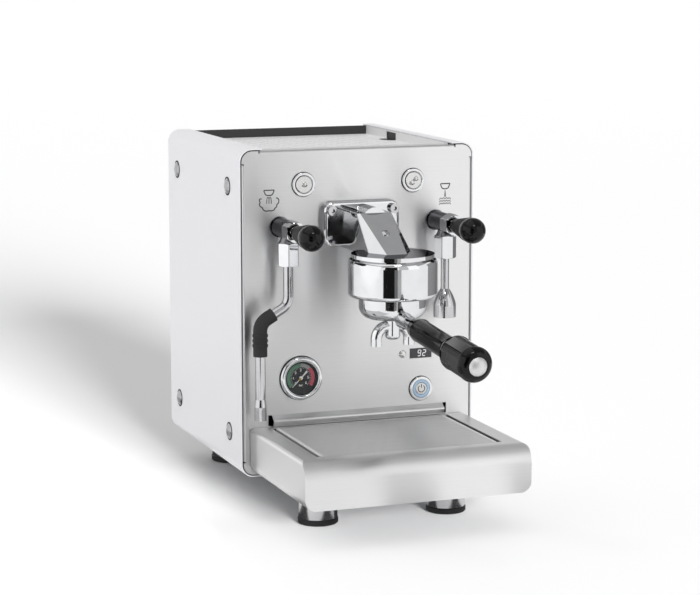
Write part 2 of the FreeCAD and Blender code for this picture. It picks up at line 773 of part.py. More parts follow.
def rear_panel():
    """Sheet with air slots and the inlet's window, folded forward over the rear rail's channel."""
    panel = rounded_plate(-PANEL_HALF_W, PANEL_HALF_W, PANEL_Z0, PANEL_Z1, REAR_FACE_Y, BODY_D, PANEL_R)
    inlet_z = FOOT_H + INLET_UP
    cuts = [block(INLET_X - INLET_W / 2 - HOLE_CLEAR, INLET_X + INLET_W / 2 + HOLE_CLEAR, REAR_FACE_Y, BODY_D,
                  inlet_z - INLET_H / 2 - HOLE_CLEAR, inlet_z + INLET_H / 2 + HOLE_CLEAR)]
    for row in range(VENT_COUNT):
        z = FOOT_H + VENT_UP + row * VENT_STEP
        for x in (-VENT_X, VENT_X):
            cuts.append(rounded_plate(x - VENT_W / 2, x + VENT_W / 2, z, z + VENT_H,
                                      REAR_FACE_Y, BODY_D, VENT_H * 0.45))
    half = RIM_X - TRAY_SIDE_GAP
    fold = block(-half, half, RAIL_Y + RAIL_T + GAP, BODY_D, PANEL_Z1 - SHEET, PANEL_Z1)
    return panel.cut(cuts + rear_screw_holes()).fuse(fold).removeSplitter()


def power_inlet():
    z = FOOT_H + INLET_UP
    frame_w = INLET_W / 2 + INLET_LIP
    frame_h = INLET_H / 2 + INLET_LIP
    frame = rounded_plate(INLET_X - frame_w, INLET_X + frame_w, z - frame_h, z + frame_h,
                          BODY_D, BODY_D + INLET_LIP_T, INLET_LIP / 2)
    body = block(INLET_X - INLET_W / 2, INLET_X + INLET_W / 2, BODY_D - INLET_D, BODY_D,
                 z - INLET_H / 2, z + INLET_H / 2)
    wall = INLET_LIP / 2
    socket_y = BODY_D + INLET_LIP_T - INLET_SOCKET_D
    socket = rounded_plate(INLET_X - INLET_W / 2 + wall, INLET_X + INLET_W / 2 - wall,
                           z - INLET_H / 2 + wall, z + INLET_H / 2 - wall,
                           socket_y, BODY_D + INLET_LIP_T, wall)
    pins = []
    for step, rise in ((-1, -1), (0, 1), (1, -1)):
        x = INLET_X + step * INLET_PIN_STEP
        pin_z = z + rise * INLET_PIN_W / 2
        pins.append(block(x - INLET_PIN_T / 2, x + INLET_PIN_T / 2, socket_y, socket_y + INLET_PIN_L,
                          pin_z - INLET_PIN_W / 2, pin_z + INLET_PIN_W / 2))
    return frame.fuse(body).cut(socket).fuse(pins)


def base_frame():
    """Base sheet with turned-up sides that the side screws hold, and a tongue under the drip tray."""
    back = REAR_FACE_Y - GAP
    outer = rounded_plate(-INNER_HALF_W, INNER_HALF_W, FOOT_H, SHELL_Z1, UPSTAND_Y, back, CORNER_R - SHEET)
    inner = rounded_plate(-INNER_HALF_W + BASE_T, INNER_HALF_W - BASE_T, FLOOR_Z, SHELL_Z1, UPSTAND_Y, back,
                          CORNER_R - SHEET - BASE_T)
    low = block(-HALF_W, HALF_W, UPSTAND_Y, back, FOOT_H, FOOT_H + UPSTAND_UP)
    tongue = block(-TONGUE_HALF_W, TONGUE_HALF_W, -TONGUE_REACH, UPSTAND_Y, FOOT_H, FLOOR_Z)
    tab = rear_tab(FOOT_H, PANEL_Z0 + 2 * REAR_SCREW_EDGE)
    holes = side_screw_holes()
    holes += [hole.mirror(ORIGIN, RIGHT) for hole in holes]
    holes += rear_screw_holes()
    return outer.cut(inner).common(low).fuse([tongue, tab]).cut(holes).removeSplitter()


def top_frame():
    """Ring under the rims that carries the cup tray, with sides that the side screws hold."""
    back = REAR_FACE_Y - GAP
    front = SHEET + SEAM
    shell_inside = rounded_plate(-INNER_HALF_W, INNER_HALF_W, FOOT_H, SHELL_Z1 - SHEET, 0, BODY_D,
                                 CORNER_R - SHEET)
    fold_x = PANEL_HALF_W - SHEET - GAP
    ring = block(-INNER_HALF_W, INNER_HALF_W, FOLD_D + GAP, back, LEDGE_Z0, LEDGE_Z1)
    nose = block(-fold_x, fold_x, front, FOLD_D + GAP, LEDGE_Z0, LEDGE_Z1)
    hole = block(-RIM_X + LEDGE_W, RIM_X - LEDGE_W, TRAY_FRONT_Y + LEDGE_W, RAIL_Y - LEDGE_T, LEDGE_Z0, LEDGE_Z1)
    web = block(INNER_HALF_W - TOP_WEB_T, INNER_HALF_W, FOLD_D + GAP, back, LEDGE_Z0 - TOP_WEB_H, LEDGE_Z0)
    post = block(RIM_X, RIM_X + LEDGE_T, FOLD_D + GAP, back, LEDGE_Z1, SHELL_Z1 - SHEET)
    right = web.fuse(post).cut(side_screw_holes())
    left = right.mirror(ORIGIN, RIGHT)
    tab = rear_tab(PANEL_Z1 - 2 * REAR_SCREW_EDGE - RECESS_D, LEDGE_Z1).cut(rear_screw_holes())
    return ring.fuse([nose, right, left, tab]).cut(hole).common(shell_inside).removeSplitter()


def rear_rail():
    """Dark back wall of the top recess, standing on the top frame by a fold at its foot."""
    half = RIM_X - TRAY_SIDE_GAP
    wall = block(-half, half, RAIL_Y, RAIL_Y + RAIL_T, LEDGE_Z1, SHELL_Z1 - RAIL_DROP)
    foot = block(-half, half, RAIL_Y, REAR_FACE_Y - GAP, LEDGE_Z1, LEDGE_Z1 + RAIL_T)
    return wall.fuse(foot).removeSplitter()


def slot_outline(x, y):
    """Round-ended slot along X, in the XY plane at z = 0."""
    half = SLOT_L / 2 - SLOT_W / 2
    r = SLOT_W / 2
    edges = [
        Part.makeLine(Vector(x - half, y - r, 0), Vector(x + half, y - r, 0)),
        Part.Arc(Vector(x + half, y - r, 0), Vector(x + half + r, y, 0), Vector(x + half, y + r, 0)).toShape(),
        Part.makeLine(Vector(x + half, y + r, 0), Vector(x - half, y + r, 0)),
        Part.Arc(Vector(x - half, y + r, 0), Vector(x - half - r, y, 0), Vector(x - half, y - r, 0)).toShape(),
    ]
    return Part.Wire(edges)


def cup_tray():
    """Pan of slotted sheet in the top recess, open at the back, with finger notches in its sides."""
    half = RIM_X - TRAY_SIDE_GAP
    back = RAIL_Y - TRAY_SIDE_GAP
    z0 = TRAY_FLOOR_Z - TRAY_SHEET
    wall_z = SHELL_Z1 - TRAY_WALL_DROP
    corners = [(-half, TRAY_FRONT_Y), (half, TRAY_FRONT_Y), (half, back), (-half, back), (-half, TRAY_FRONT_Y)]
    rim = Part.makePolygon([Vector(x, y, 0) for x, y in corners])
    wires = [rim]
    columns = int((2 * half - 2 * SLOT_BORDER - SLOT_L) / SLOT_STEP_X)
    rows = int((back - TRAY_FRONT_Y - 2 * SLOT_BORDER) / SLOT_STEP_Y)
    for row in range(rows + 1):
        y = TRAY_FRONT_Y + SLOT_BORDER + row * SLOT_STEP_Y
        count = columns + 1 - row % 2
        for column in range(count):
            wires.append(slot_outline((column - (count - 1) / 2) * SLOT_STEP_X, y))
    floor = Part.makeFace(wires, "Part::FaceMakerBullseye").extrude(Vector(0, 0, TRAY_SHEET))
    floor.translate(Vector(0, 0, z0))
    right = block(half - TRAY_SHEET, half, TRAY_FRONT_Y, back, z0, wall_z)
    left = right.mirror(ORIGIN, RIGHT)
    front = block(-half, half, TRAY_FRONT_Y, TRAY_FRONT_Y + TRAY_SHEET, z0, wall_z)
    notch = rod(NOTCH_R, wall_z - z0, Vector(half, NOTCH_Y, z0 - TRAY_WALL_DROP), UP)
    return floor.fuse([right, left, front]).cut([notch, notch.mirror(ORIGIN, RIGHT)]).removeSplitter()


def at_feet(make):
    feet = []
    for y in (FOOT_FRONT_Y, FOOT_REAR_Y):
        for x in (-FOOT_X, FOOT_X):
            feet.append(make(Vector(x, y, 0)))
    return Part.makeCompound(feet)


def foot_bodies():
    return at_feet(lambda base: rod(FOOT_R, FOOT_H - PAD_H, base + UP * PAD_H, UP))


def foot_pads():
    edge = PAD_H / 6
    profile = [(0, 0), (PAD_R - edge, 0), (PAD_R, edge), (PAD_R, PAD_H - edge), (PAD_R - edge, PAD_H), (0, PAD_H)]
    return at_feet(lambda base: turned(profile, base, UP))


def drawer_block(inset):
    """Outer form of the drip tray's housing, drawn in by an inset."""
    half = DRAWER_HALF_W - inset
    front = -DRAWER_REACH + inset
    back = -DRAWER_BACK
    z0 = DRAWER_Z0 + inset
    z1 = DRAWER_Z1 - inset
    foot_r = DRAWER_FOOT_R - inset
    side_r = DRAWER_SIDE_R - inset
    nose_r = DRAWER_NOSE_R - inset
    foot_in = foot_r * (1 - math.sqrt(0.5))
    side_in = side_r * (1 - math.sqrt(0.5))
    section = outline([
        (half - foot_r, z0),
        (half, z0 + foot_r, half - foot_in, z0 + foot_in),
        (half, z1 - side_r),
        (half - side_r, z1, half - side_in, z1 - side_in),
        (-half + side_r, z1),
        (-half, z1 - side_r, -half + side_in, z1 - side_in),
        (-half, z0 + foot_r),
        (-half + foot_r, z0, -half + foot_in, z0 + foot_in),
    ])
    body = Part.Face(section).extrude(Vector(0, back - front, 0))
    body.translate(Vector(0, front, 0))
    nose_in = nose_r * (1 - math.sqrt(0.5))
    side = Part.Face(outline([
        (front, z0),
        (back, z0),
        (back, z1),
        (front + nose_r, z1),
        (front, z1 - nose_r, front + nose_in, z1 - nose_in),
    ]))
    side.rotate(ORIGIN, UP, 90)
    profile = side.extrude(Vector(2 * half, 0, 0))
    profile.translate(Vector(-half, 0, 0))
    return body.common(profile)


def tray_housing():
    """Folded steel box round the drip basin, open at the back, the bottom and over the grid."""
    inner_half = DRAWER_HALF_W - DRAWER_FOLD
    inner_back = block(-DRAWER_HALF_W + SHEET, DRAWER_HALF_W - SHEET, -DRAWER_BACK - SHEET, -DRAWER_BACK,
                       DRAWER_Z0 + SHEET, DRAWER_Z1 - SHEET)
    bottom = block(-inner_half, inner_half, -DRAWER_REACH + SHEET, -DRAWER_BACK, DRAWER_Z0, DRAWER_Z0 + SHEET)
    opening = block(-OPENING_HALF_W, OPENING_HALF_W, -GRID_FRONT - GRID_END_GAP, -GRID_BACK + GRID_END_GAP,
                    DRAWER_Z1 - SHEET, DRAWER_Z1)
    return drawer_block(0).cut([drawer_block(SHEET), inner_back, bottom, opening])


def drip_basin():
    """Open basin under the grid, hung from the housing by its rim, with strips that carry the grid."""
    half = OPENING_HALF_W + BASIN_WALL
    front = -GRID_FRONT - GRID_END_GAP - BASIN_WALL
    back = -GRID_BACK + GRID_END_GAP + BASIN_WALL
    z0 = FLOOR_Z + GAP
    z1 = DRAWER_Z1 - SHEET
    outer = block(-half, half, front, back, z0, z1)
    rim = block(-half - BASIN_RIM, half + BASIN_RIM, front - BASIN_RIM, back, z1 - BASIN_WALL, z1)
    inner = block(-OPENING_HALF_W, OPENING_HALF_W, front + BASIN_WALL, back - BASIN_WALL, z0 + BASIN_WALL, z1)
    shelf_z = GRID_Z0 - GAP
    strip = block(OPENING_HALF_W - SHELF_W, OPENING_HALF_W, front + BASIN_WALL, back - BASIN_WALL,
                  shelf_z - BASIN_WALL, shelf_z)
    return outer.fuse(rim).cut(inner).fuse([strip, strip.mirror(ORIGIN, RIGHT)]).removeSplitter()


def drip_grid():
    """Slats along X on three bars."""
    bar_z1 = GRID_Z1 - SLAT_H
    bars = []
    for x in (-GRID_HALF_W + BAR_INSET, 0, GRID_HALF_W - BAR_INSET):
        bars.append(block(x - BAR_W / 2, x + BAR_W / 2, -GRID_FRONT, -GRID_BACK, GRID_Z0, bar_z1))
    count = int((GRID_FRONT - GRID_BACK - SLAT_W) / SLAT_STEP)
    first = -(GRID_FRONT + GRID_BACK) / 2 - count * SLAT_STEP / 2
    for index in range(count + 1):
        y = first + index * SLAT_STEP
        bars.append(block(-GRID_HALF_W, GRID_HALF_W, y - SLAT_W / 2, y + SLAT_W / 2, bar_z1, GRID_Z1))
    return bars[0].fuse(bars[1:]).removeSplitter()


def button_bezel(x, z, radius, bore):
    """Ring on the panel with the switch's barrel behind it; the cap slides in its bore."""
    barrel = bore + BARREL_WALL
    edge = BEZEL_EDGE
    depth = CAP_L - CAP_PROUD + BUTTON_TRAVEL + GAP
    return turned([
        (0, -BARREL_D),
        (barrel, -BARREL_D),
        (barrel, 0),
        (radius, 0),
        (radius, BEZEL_PROUD - edge),
        (radius - edge, BEZEL_PROUD, radius - edge * 0.3, BEZEL_PROUD - edge * 0.3),
        (bore + edge, BEZEL_PROUD),
        (bore, BEZEL_PROUD - edge),
        (bore, -depth),
        (0, -depth),
    ], Vector(x, 0, z), FORWARD)


def button_cap(x, z, radius):
    base = Vector(x, CAP_L - CAP_PROUD, z)
    edge = BEZEL_EDGE / 2
    return turned([(0, 0), (radius, 0), (radius, CAP_L - edge), (radius - edge, CAP_L), (0, CAP_L)], base, FORWARD)


def brew_bezels():
    return both_sides(button_bezel(BREW_X, BREW_Z, BREW_R, BREW_CAP_R + BUTTON_GAP))


def brew_button_left():
    return button_cap(-BREW_X, BREW_Z, BREW_CAP_R)


def brew_button_right():
    return button_cap(BREW_X, BREW_Z, BREW_CAP_R)


def power_bezel():
    return button_bezel(POWER_X, POWER_Z, POWER_R, LIGHT_RING_R)


def power_button():
    return button_cap(POWER_X, POWER_Z, POWER_CAP_R)


def power_light_ring():
    """Lit ring between the bezel and the cap, standing on the barrel's floor."""
    depth = CAP_L - CAP_PROUD + BUTTON_TRAVEL + GAP
    length = depth + CAP_PROUD
    base = Vector(POWER_X, depth, POWER_Z)
    ring = rod(LIGHT_RING_R - FIT, length, base, FORWARD)
    return ring.cut(rod(POWER_CAP_R + BUTTON_GAP, length, base, FORWARD))


def panel_nuts():
    """Nuts behind the panel that hold the switches and the taps."""
    nuts = []
    for x, z, bore in (
        (BREW_X, BREW_Z, BREW_CAP_R + BUTTON_GAP),
        (-BREW_X, BREW_Z, BREW_CAP_R + BUTTON_GAP),
        (POWER_X, POWER_Z, LIGHT_RING_R),
    ):
        barrel = bore + BARREL_WALL
        nuts.append(hex_nut(2 * barrel + NUT_MARGIN, NUT_H, barrel + FIT, Vector(x, SHEET, z), BACK))
    for x in (TAP_X, -TAP_X):
        nuts.append(hex_nut(LOCK_NUT_ACROSS, LOCK_NUT_H, TAIL_R + FIT, Vector(x, SHEET, TAP_Z), BACK))
    return Part.makeCompound(nuts)


def status_lamp():
    """Domed lamp through the panel, with a shoulder behind it."""
    shoulder = LAMP_R + DISPLAY_RIM
    return turned([
        (0, -LAMP_L),
        (shoulder, -LAMP_L),
        (shoulder, -SHEET),
        (LAMP_R, -SHEET),
        (LAMP_R, 0),
        dome_end(LAMP_R, LAMP_PROUD),
    ], Vector(LAMP_X, 0, DISPLAY_Z), FORWARD)


def display_window():
    """Dark window flush with the panel, with a shoulder behind it."""
    x0 = POWER_X - DISPLAY_W / 2
    x1 = POWER_X + DISPLAY_W / 2
    z0 = DISPLAY_Z - DISPLAY_H / 2
    z1 = DISPLAY_Z + DISPLAY_H / 2
    window = block(x0, x1, 0, SHEET, z0, z1)
    shoulder = block(x0 - DISPLAY_RIM, x1 + DISPLAY_RIM, SHEET, DISPLAY_L, z0 - DISPLAY_RIM, z1 + DISPLAY_RIM)
    return window.fuse(shoulder)


def gauge_case():
    """Bezel and case of the pressure gauge; the dial lies on its inner floor, the glass under the lip."""
    opening = GAUGE_R - GAUGE_LIP
    glass_r = opening + GLASS_SEAT
    glass_out = GAUGE_PROUD - GLASS_SEAT
    edge = BEZEL_EDGE
    return turned([
        (0, -GAUGE_CASE_D),
        (GAUGE_CASE_R, -GAUGE_CASE_D),
        (GAUGE_CASE_R, 0),
        (GAUGE_R, 0),
        (GAUGE_R, GAUGE_PROUD - 2 * edge),
        (GAUGE_R - 2 * edge, GAUGE_PROUD, GAUGE_R - 0.6 * edge, GAUGE_PROUD - 0.6 * edge),
        (opening, GAUGE_PROUD),
        (opening, glass_out),
        (glass_r, glass_out),
        (glass_r, glass_out - GLASS_T),
        (opening, glass_out - GLASS_T),
        (opening, -DIAL_BACK),
        (0, -DIAL_BACK),
    ], Vector(GAUGE_X, 0, GAUGE_Z), FORWARD)


def gauge_dial():
    base = Vector(GAUGE_X, DIAL_BACK, GAUGE_Z)
    disc = rod(GAUGE_R - GAUGE_LIP - FIT, DIAL_T, base, FORWARD)
    return disc.cut(rod(ARBOR_R + FIT, DIAL_T, base, FORWARD))


def gauge_glass():
    base = Vector(GAUGE_X, -(GAUGE_PROUD - GLASS_SEAT - GLASS_T), GAUGE_Z)
    return rod(GAUGE_R - GAUGE_LIP + GLASS_SEAT - FIT, GLASS_T, base, FORWARD)


def gauge_needle():
    """Tapered pointer with a short tail, a hub and an arbor through the dial; it rests at zero."""
    dial_face = DIAL_T - DIAL_BACK
    back = dial_face + NEEDLE_LIFT
    pointer = Part.Face(outline([
        (NEEDLE_L, -NEEDLE_W / 4),
        (NEEDLE_L, NEEDLE_W / 4),
        (0, NEEDLE_W / 2),
        (-NEEDLE_TAIL, NEEDLE_W),
        (-NEEDLE_TAIL, -NEEDLE_W),
        (0, -NEEDLE_W / 2),
    ])).extrude(FORWARD * NEEDLE_T)
    pointer.rotate(ORIGIN, FORWARD, NEEDLE_REST)
    pointer.translate(Vector(GAUGE_X, -back, GAUGE_Z))
    hub = rod(HUB_R, NEEDLE_T * 1.4, Vector(GAUGE_X, -back, GAUGE_Z), FORWARD)
    arbor = rod(ARBOR_R, back + DIAL_BACK - GAP, Vector(GAUGE_X, DIAL_BACK - GAP, GAUGE_Z), FORWARD)
    return pointer.fuse([hub, arbor]).removeSplitter()


def tap_bodies():
    """Barrels with a rose at the panel, a bored front with a cross pin for the lever's ball, a tail and a stub."""
    root = Vector(TAP_X, 0, TAP_Z)
    under = Vector(TAP_X, UNION_Y, UNION_Z1)
    barrel = rod(BARREL_R, BARREL_L, root, FORWARD)
    rose = rod(ROSE_R, ROSE_T, root, FORWARD)
    front = rod(THREAD_R, BARREL_L + THREAD_L, root, FORWARD)
    tail = rod(TAIL_R, TAIL_L, root, BACK)
    collar = Part.makeCone(COLLAR_R, COLLAR_TOP_R, COLLAR_H + BARREL_R / 2, under, UP)
    stub = rod(STUB_R, STUB_L, under, DOWN)
    bore_y = LEVER_Y + BALL_R + GAP
    bore = rod(BALL_R + GAP, BARREL_L + THREAD_L + bore_y, Vector(TAP_X, bore_y, TAP_Z), FORWARD)
    pin = rod(PIVOT_R, 2 * THREAD_R, Vector(TAP_X - THREAD_R, LEVER_Y, TAP_Z), RIGHT).common(front)
    body = barrel.fuse([rose, front, tail, collar, stub]).cut(bore)
    return both_sides(body.fuse(pin).removeSplitter())


def gland_nuts():
    """Hexagon nuts on the barrels' fronts with a flared mouth for the lever."""
    base = Vector(TAP_X, -BARREL_L, TAP_Z)
    nut = hex_nut(GLAND_ACROSS, GLAND_L, GLAND_THROAT_R, base, FORWARD)
    thread = rod(THREAD_R + FIT, THREAD_L, base, FORWARD)
    flare = turned([
        (0, 0),
        (GLAND_THROAT_R, 0),
        (GLAND_MOUTH_R, GLAND_L - THREAD_L),
        (0, GLAND_L - THREAD_L),
    ], base + FORWARD * THREAD_L, FORWARD)
    return both_sides(nut.cut([thread, flare]))


def tap_lever(x):
    """Chrome stem with its ball, bored for the cross pin."""
    ball = Part.makeSphere(BALL_R, Vector(x, LEVER_Y, TAP_Z))
    length = LEVER_Y - KNOB_NECK_Y + KNOB_DEPTH
    stem = rod(STEM_R, length, Vector(x, LEVER_Y, TAP_Z), FORWARD)
    bore = rod(PIVOT_R + FIT, 2 * BALL_R, Vector(x - BALL_R, LEVER_Y, TAP_Z), RIGHT)
    return ball.fuse(stem).cut(bore).removeSplitter()


def tap_knob(x):
    """Ball on a cone that starts with rings at the gland, and a hole for the stem."""
    groove_r = KNOB_NECK_R - KNOB_GROOVE
    rings = []
    foot = 0
    for _ in range(KNOB_RING_COUNT):
        rings.append((KNOB_NECK_R, foot))
        rings.append((KNOB_NECK_R, foot + KNOB_RING_L))
        rings.append((groove_r, foot + KNOB_RING_L))
        foot += KNOB_RING_L + KNOB_GROOVE
        rings.append((groove_r, foot))
    centre = KNOB_NECK_Y - KNOB_Y
    reach = centre - foot
    tangent = math.atan2(KNOB_NECK_R, reach) + math.acos(KNOB_R / math.hypot(reach, KNOB_NECK_R))
    bore = STEM_R + FIT
    depth = KNOB_DEPTH + FIT
    return turned([
        (bore, 0),
        *rings,
        (KNOB_NECK_R, foot),
        (KNOB_R * math.sin(tangent), centre - KNOB_R * math.cos(tangent)),
        (0, centre + KNOB_R, KNOB_R, centre),
        (0, depth),
        (bore, depth),
    ], Vector(x, KNOB_NECK_Y, TAP_Z), FORWARD)


def union_nuts():
    """Hexagon nuts under the taps; the floor of each holds the flange of what hangs in it."""
    nuts = []
    for x, neck_r, turn in (
        (-TAP_X, WAND_R, UNION_TURN_LEFT),
        (TAP_X, SPOUT_R, UNION_TURN_RIGHT),
    ):
        base = Vector(x, UNION_Y, UNION_Z0)
        nut = hex_nut(UNION_ACROSS, UNION_H, neck_r + GAP, base, UP)
        nut.rotate(base, UP, turn)
        nuts.append(nut.cut(rod(STUB_R + FIT, UNION_H - UNION_SEAT, base + UP * UNION_SEAT, UP)))
    return Part.makeCompound(nuts)


def steam_lever():
    return tap_lever(-TAP_X)


def water_lever():
    return tap_lever(TAP_X)


def steam_knob():
    return tap_knob(-TAP_X)


def water_knob():
    return tap_knob(TAP_X)


def wand_points():
    flange_z = UNION_Z0 + UNION_SEAT + GAP + WAND_FLANGE_H
    lower_x = -TAP_X - WAND_OUT
    return [
        Vector(-TAP_X, UNION_Y, flange_z),
        Vector(-TAP_X, UNION_Y, FOOT_H + WAND_KNEE_UP),
        Vector(lower_x, UNION_Y, FOOT_H + WAND_KNEE_UP - WAND_STEP),
        Vector(lower_x, UNION_Y, FOOT_H + WAND_END_UP),
    ]


def steam_wand():
    """Bent tube with a flange that turns in the union nut."""
    points = wand_points()
    flange = rod(WAND_FLANGE_R, WAND_FLANGE_H, points[0], DOWN)
    return bent_rod(points, WAND_R, WAND_BEND).fuse(flange).removeSplitter()


def steam_wand_tip():
    end = wand_points()[-1]
    return turned([
        (0, 0),
        (WAND_R, 0),
        (WAND_TIP_R, WAND_TIP_CONE),
        (WAND_TIP_R, WAND_TIP_CONE + WAND_TIP_H),
        (0, WAND_TIP_CONE + WAND_TIP_H),
    ], end, DOWN)


def steam_wand_grip():
    """Rubber sleeve round the second bend and the run below it, with raised rings."""
    points = wand_points()
    knee = points[1]
    elbow = points[2]
    slant = (knee - elbow).normalize()
    turn = slant.getAngle(UP)
    bend = WAND_BEND * math.tan(turn / 2)
    run = (knee - elbow).Length - 2 * bend
    start = elbow + slant * (bend + run * GRIP_SHARE)
    end = elbow + DOWN * GRIP_DROP
    route = [start, elbow, end]
    sleeve = bent_rod(route, GRIP_R, WAND_BEND)
    rings = []
    for index in range(GRIP_RIB_COUNT):
        base = end + UP * (GRIP_FOOT + index * GRIP_RIB_STEP)
        rings.append(rod(GRIP_RIB_R, GRIP_RIB_H, base, UP))
    return sleeve.fuse(rings).cut(bent_rod(route, WAND_R + FIT, WAND_BEND)).removeSplitter()


def water_spout():
    """Straight tube with a bell mouth, held by its flange in the union nut."""
    top = UNION_Z0 + UNION_SEAT + WAND_FLANGE_H
    mouth = FOOT_H + SPOUT_BELL_UP
    shoulder = mouth + SPOUT_BELL_H
    throat = shoulder + SPOUT_FLARE_H
    inner = SPOUT_BELL_R - SPOUT_BELL_WALL
    mid_z = (shoulder + throat) / 2
    return turned([
        (SPOUT_BORE_R, top),
        (SPOUT_BORE_R, throat),
        (inner, shoulder, (SPOUT_BORE_R + inner) / 2 + SPOUT_BELL_WALL, mid_z),
        (inner, mouth),
        (SPOUT_BELL_R, mouth),
        (SPOUT_BELL_R, shoulder),
        (SPOUT_R, throat, (SPOUT_R + SPOUT_BELL_R) / 2 + SPOUT_BELL_WALL, mid_z),
        (SPOUT_R, top - WAND_FLANGE_H),
        (WAND_FLANGE_R, top - WAND_FLANGE_H),
        (WAND_FLANGE_R, top),
    ], Vector(TAP_X, UNION_Y, 0), UP)


def pad_bolt_seats():
    z = FOOT_H + PAD_UP + PAD_TALL - PAD_BOLT_DROP
    return [Vector(-PAD_BOLT_X, -PAD_T, z), Vector(PAD_BOLT_X, -PAD_T, z)]


def far_side(a, b, c, within):
    """Large block beyond the plane through three points, seen from a point within."""
    normal = (b - a).cross(c - a)
    if normal.dot(within - a) > 0:
        normal = normal * -1
    return placed(block(-BODY_D, BODY_D, -BODY_D, BODY_D, 0, BODY_D), a, normal)


def group_neck():
    """Casting between flange and disc: a sloping front with a flank on each side that falls to the disc."""
    fall = (NECK_REACH + NECK_SLOPE_Y) * math.tan(math.radians(NECK_SLOPE))
    ridge = Vector(NECK_TOP_W / 2, NECK_SLOPE_Y, NECK_Z1)
    other_ridge = Vector(-NECK_TOP_W / 2, NECK_SLOPE_Y, NECK_Z1)
    nose = Vector(NECK_NOSE_W / 2, -NECK_REACH, NECK_Z1 - fall)
    foot = Vector(NECK_FOOT_W / 2, NECK_FOOT_Y, GROUP_Z + DISC_H)
    heel = Vector(NECK_HEEL_W / 2, 0, GROUP_Z)
    crown = Vector(NECK_CROWN_W / 2, 0, NECK_Z1)
    within = Vector(0, NECK_SLOPE_Y, GROUP_Z)
    cuts = [far_side(ridge, other_ridge, nose, within)]
    for cut in (far_side(ridge, nose, foot, within), far_side(foot, heel, crown, within)):
        cuts.append(cut)
        cuts.append(cut.mirror(ORIGIN, RIGHT))
    half = NECK_FOOT_W / 2
    neck = block(-half, half, -NECK_REACH, 0, GROUP_Z, NECK_Z1).cut(cuts)
    rims = []
    for edge in neck.Edges:
        middle = edge.CenterOfMass
        if middle.z > GROUP_Z + NECK_H / 4 and middle.y < -PAD_T and middle.y > -NECK_REACH:
            rims.append(edge)
    return neck.makeFillet(NECK_ROUND, rims)


def group_casting():
    pad_z = FOOT_H + PAD_UP
    pad = rounded_plate(-PAD_W / 2, PAD_W / 2, pad_z, pad_z + PAD_TALL, -PAD_T, 0, PAD_CORNER)
    front_edges = [edge for edge in pad.Edges if abs(edge.BoundBox.YMax + PAD_T) < FIT]
    pad = pad.makeFillet(PAD_ROUND, front_edges)
    hump = rod(HUMP_R, -NECK_SLOPE_Y, Vector(0, 0, NECK_Z1 + HUMP_RISE - HUMP_R), FORWARD)
    disc = rod(DISC_R, DISC_H, Vector(0, GROUP_Y, GROUP_Z), UP)
    spigot = rod(SPIGOT_R, SPIGOT_H, Vector(0, GROUP_Y, SPIGOT_Z), UP)
    tail = rod(INLET_SPIGOT_R, SHEET, Vector(0, 0, INLET_SPIGOT_Z), BACK)
    bolts = [rod(PAD_BOLT_R + FIT, PAD_T, seat, BACK) for seat in pad_bolt_seats()]
    whole = pad.fuse([group_neck(), hump, disc, spigot, tail])
    return whole.cut(bolts).removeSplitter()


def group_bolt(seat):
    head = rod(PAD_BOLT_HEAD_R, PAD_BOLT_HEAD_H, seat, FORWARD)
    shank = rod(PAD_BOLT_R, PAD_BOLT_L, seat, BACK)
    socket = hex_rod(PAD_BOLT_SOCKET, PAD_BOLT_HEAD_H / 2, seat + FORWARD * (PAD_BOLT_HEAD_H / 2), FORWARD)
    return head.fuse(shank).cut(socket)


def group_cap_screw():
    """Round screw on the sloped face of the neck."""
    slope = math.radians(NECK_SLOPE)
    normal = Vector(0, -math.sin(slope), math.cos(slope))
    seat = Vector(0, CAP_SCREW_Y, NECK_Z1 + (CAP_SCREW_Y - NECK_SLOPE_Y) * math.tan(slope))
    half = CAP_SCREW_R / 2
    return turned([
        (0, 0),
        (CAP_SCREW_R, 0),
        (CAP_SCREW_R, CAP_SCREW_H / 2),
        (half, CAP_SCREW_H),
        (half, CAP_SCREW_H / 2),
        (0, CAP_SCREW_H / 2),
    ], seat, normal)


def sector(radius, height, middle, width, z):
    """Slice of a disc about the group's axis; angles in degrees from +X."""
    slice_ = Part.makeCylinder(radius, height, ORIGIN, UP, width)
    slice_.rotate(ORIGIN, UP, middle - width / 2)
    slice_.translate(Vector(0, GROUP_Y, z))
    return slice_


def group_bell():
    """Ring that the portafilter locks into: a lip inside, with two notches that let its lugs in."""
    bore = SPIGOT_R + FIT
    lip = BOWL_R + LIP_FIT
    lip_z = LUG_Z0 - GAP
    inset = BELL_ROUND * (1 - math.sqrt(0.5))
    shoulder = BELL_Z1 - BELL_SHOULDER
    mid_r = BELL_R - (BELL_R - BELL_TOP_R) * 0.25
    ring = turned([
        (lip, BELL_Z0),
        (BELL_R - BELL_ROUND, BELL_Z0),
        (BELL_R, BELL_Z0 + BELL_ROUND, BELL_R - inset, BELL_Z0 + inset),
        (BELL_R, shoulder),
        (BELL_TOP_R, BELL_Z1, mid_r, (shoulder + BELL_Z1) / 2),
        (bore, BELL_Z1),
        (bore, lip_z),
        (lip, lip_z),
    ], Vector(0, GROUP_Y, 0), UP)
    notch_w = LUG_ANGLE * 1.25
    height = lip_z - BELL_Z0
    notches = [sector(bore, height, LUG_AT - LOCK_TURN + half, notch_w, BELL_Z0) for half in (0, 180)]
    return ring.cut(notches)


def group_gasket():
    outer = SPIGOT_R - GAP
    base = Vector(0, GROUP_Y, SPIGOT_Z)
    return rod(outer, GASKET_H, base, DOWN).cut(rod(outer - GASKET_W, GASKET_H, base, DOWN))


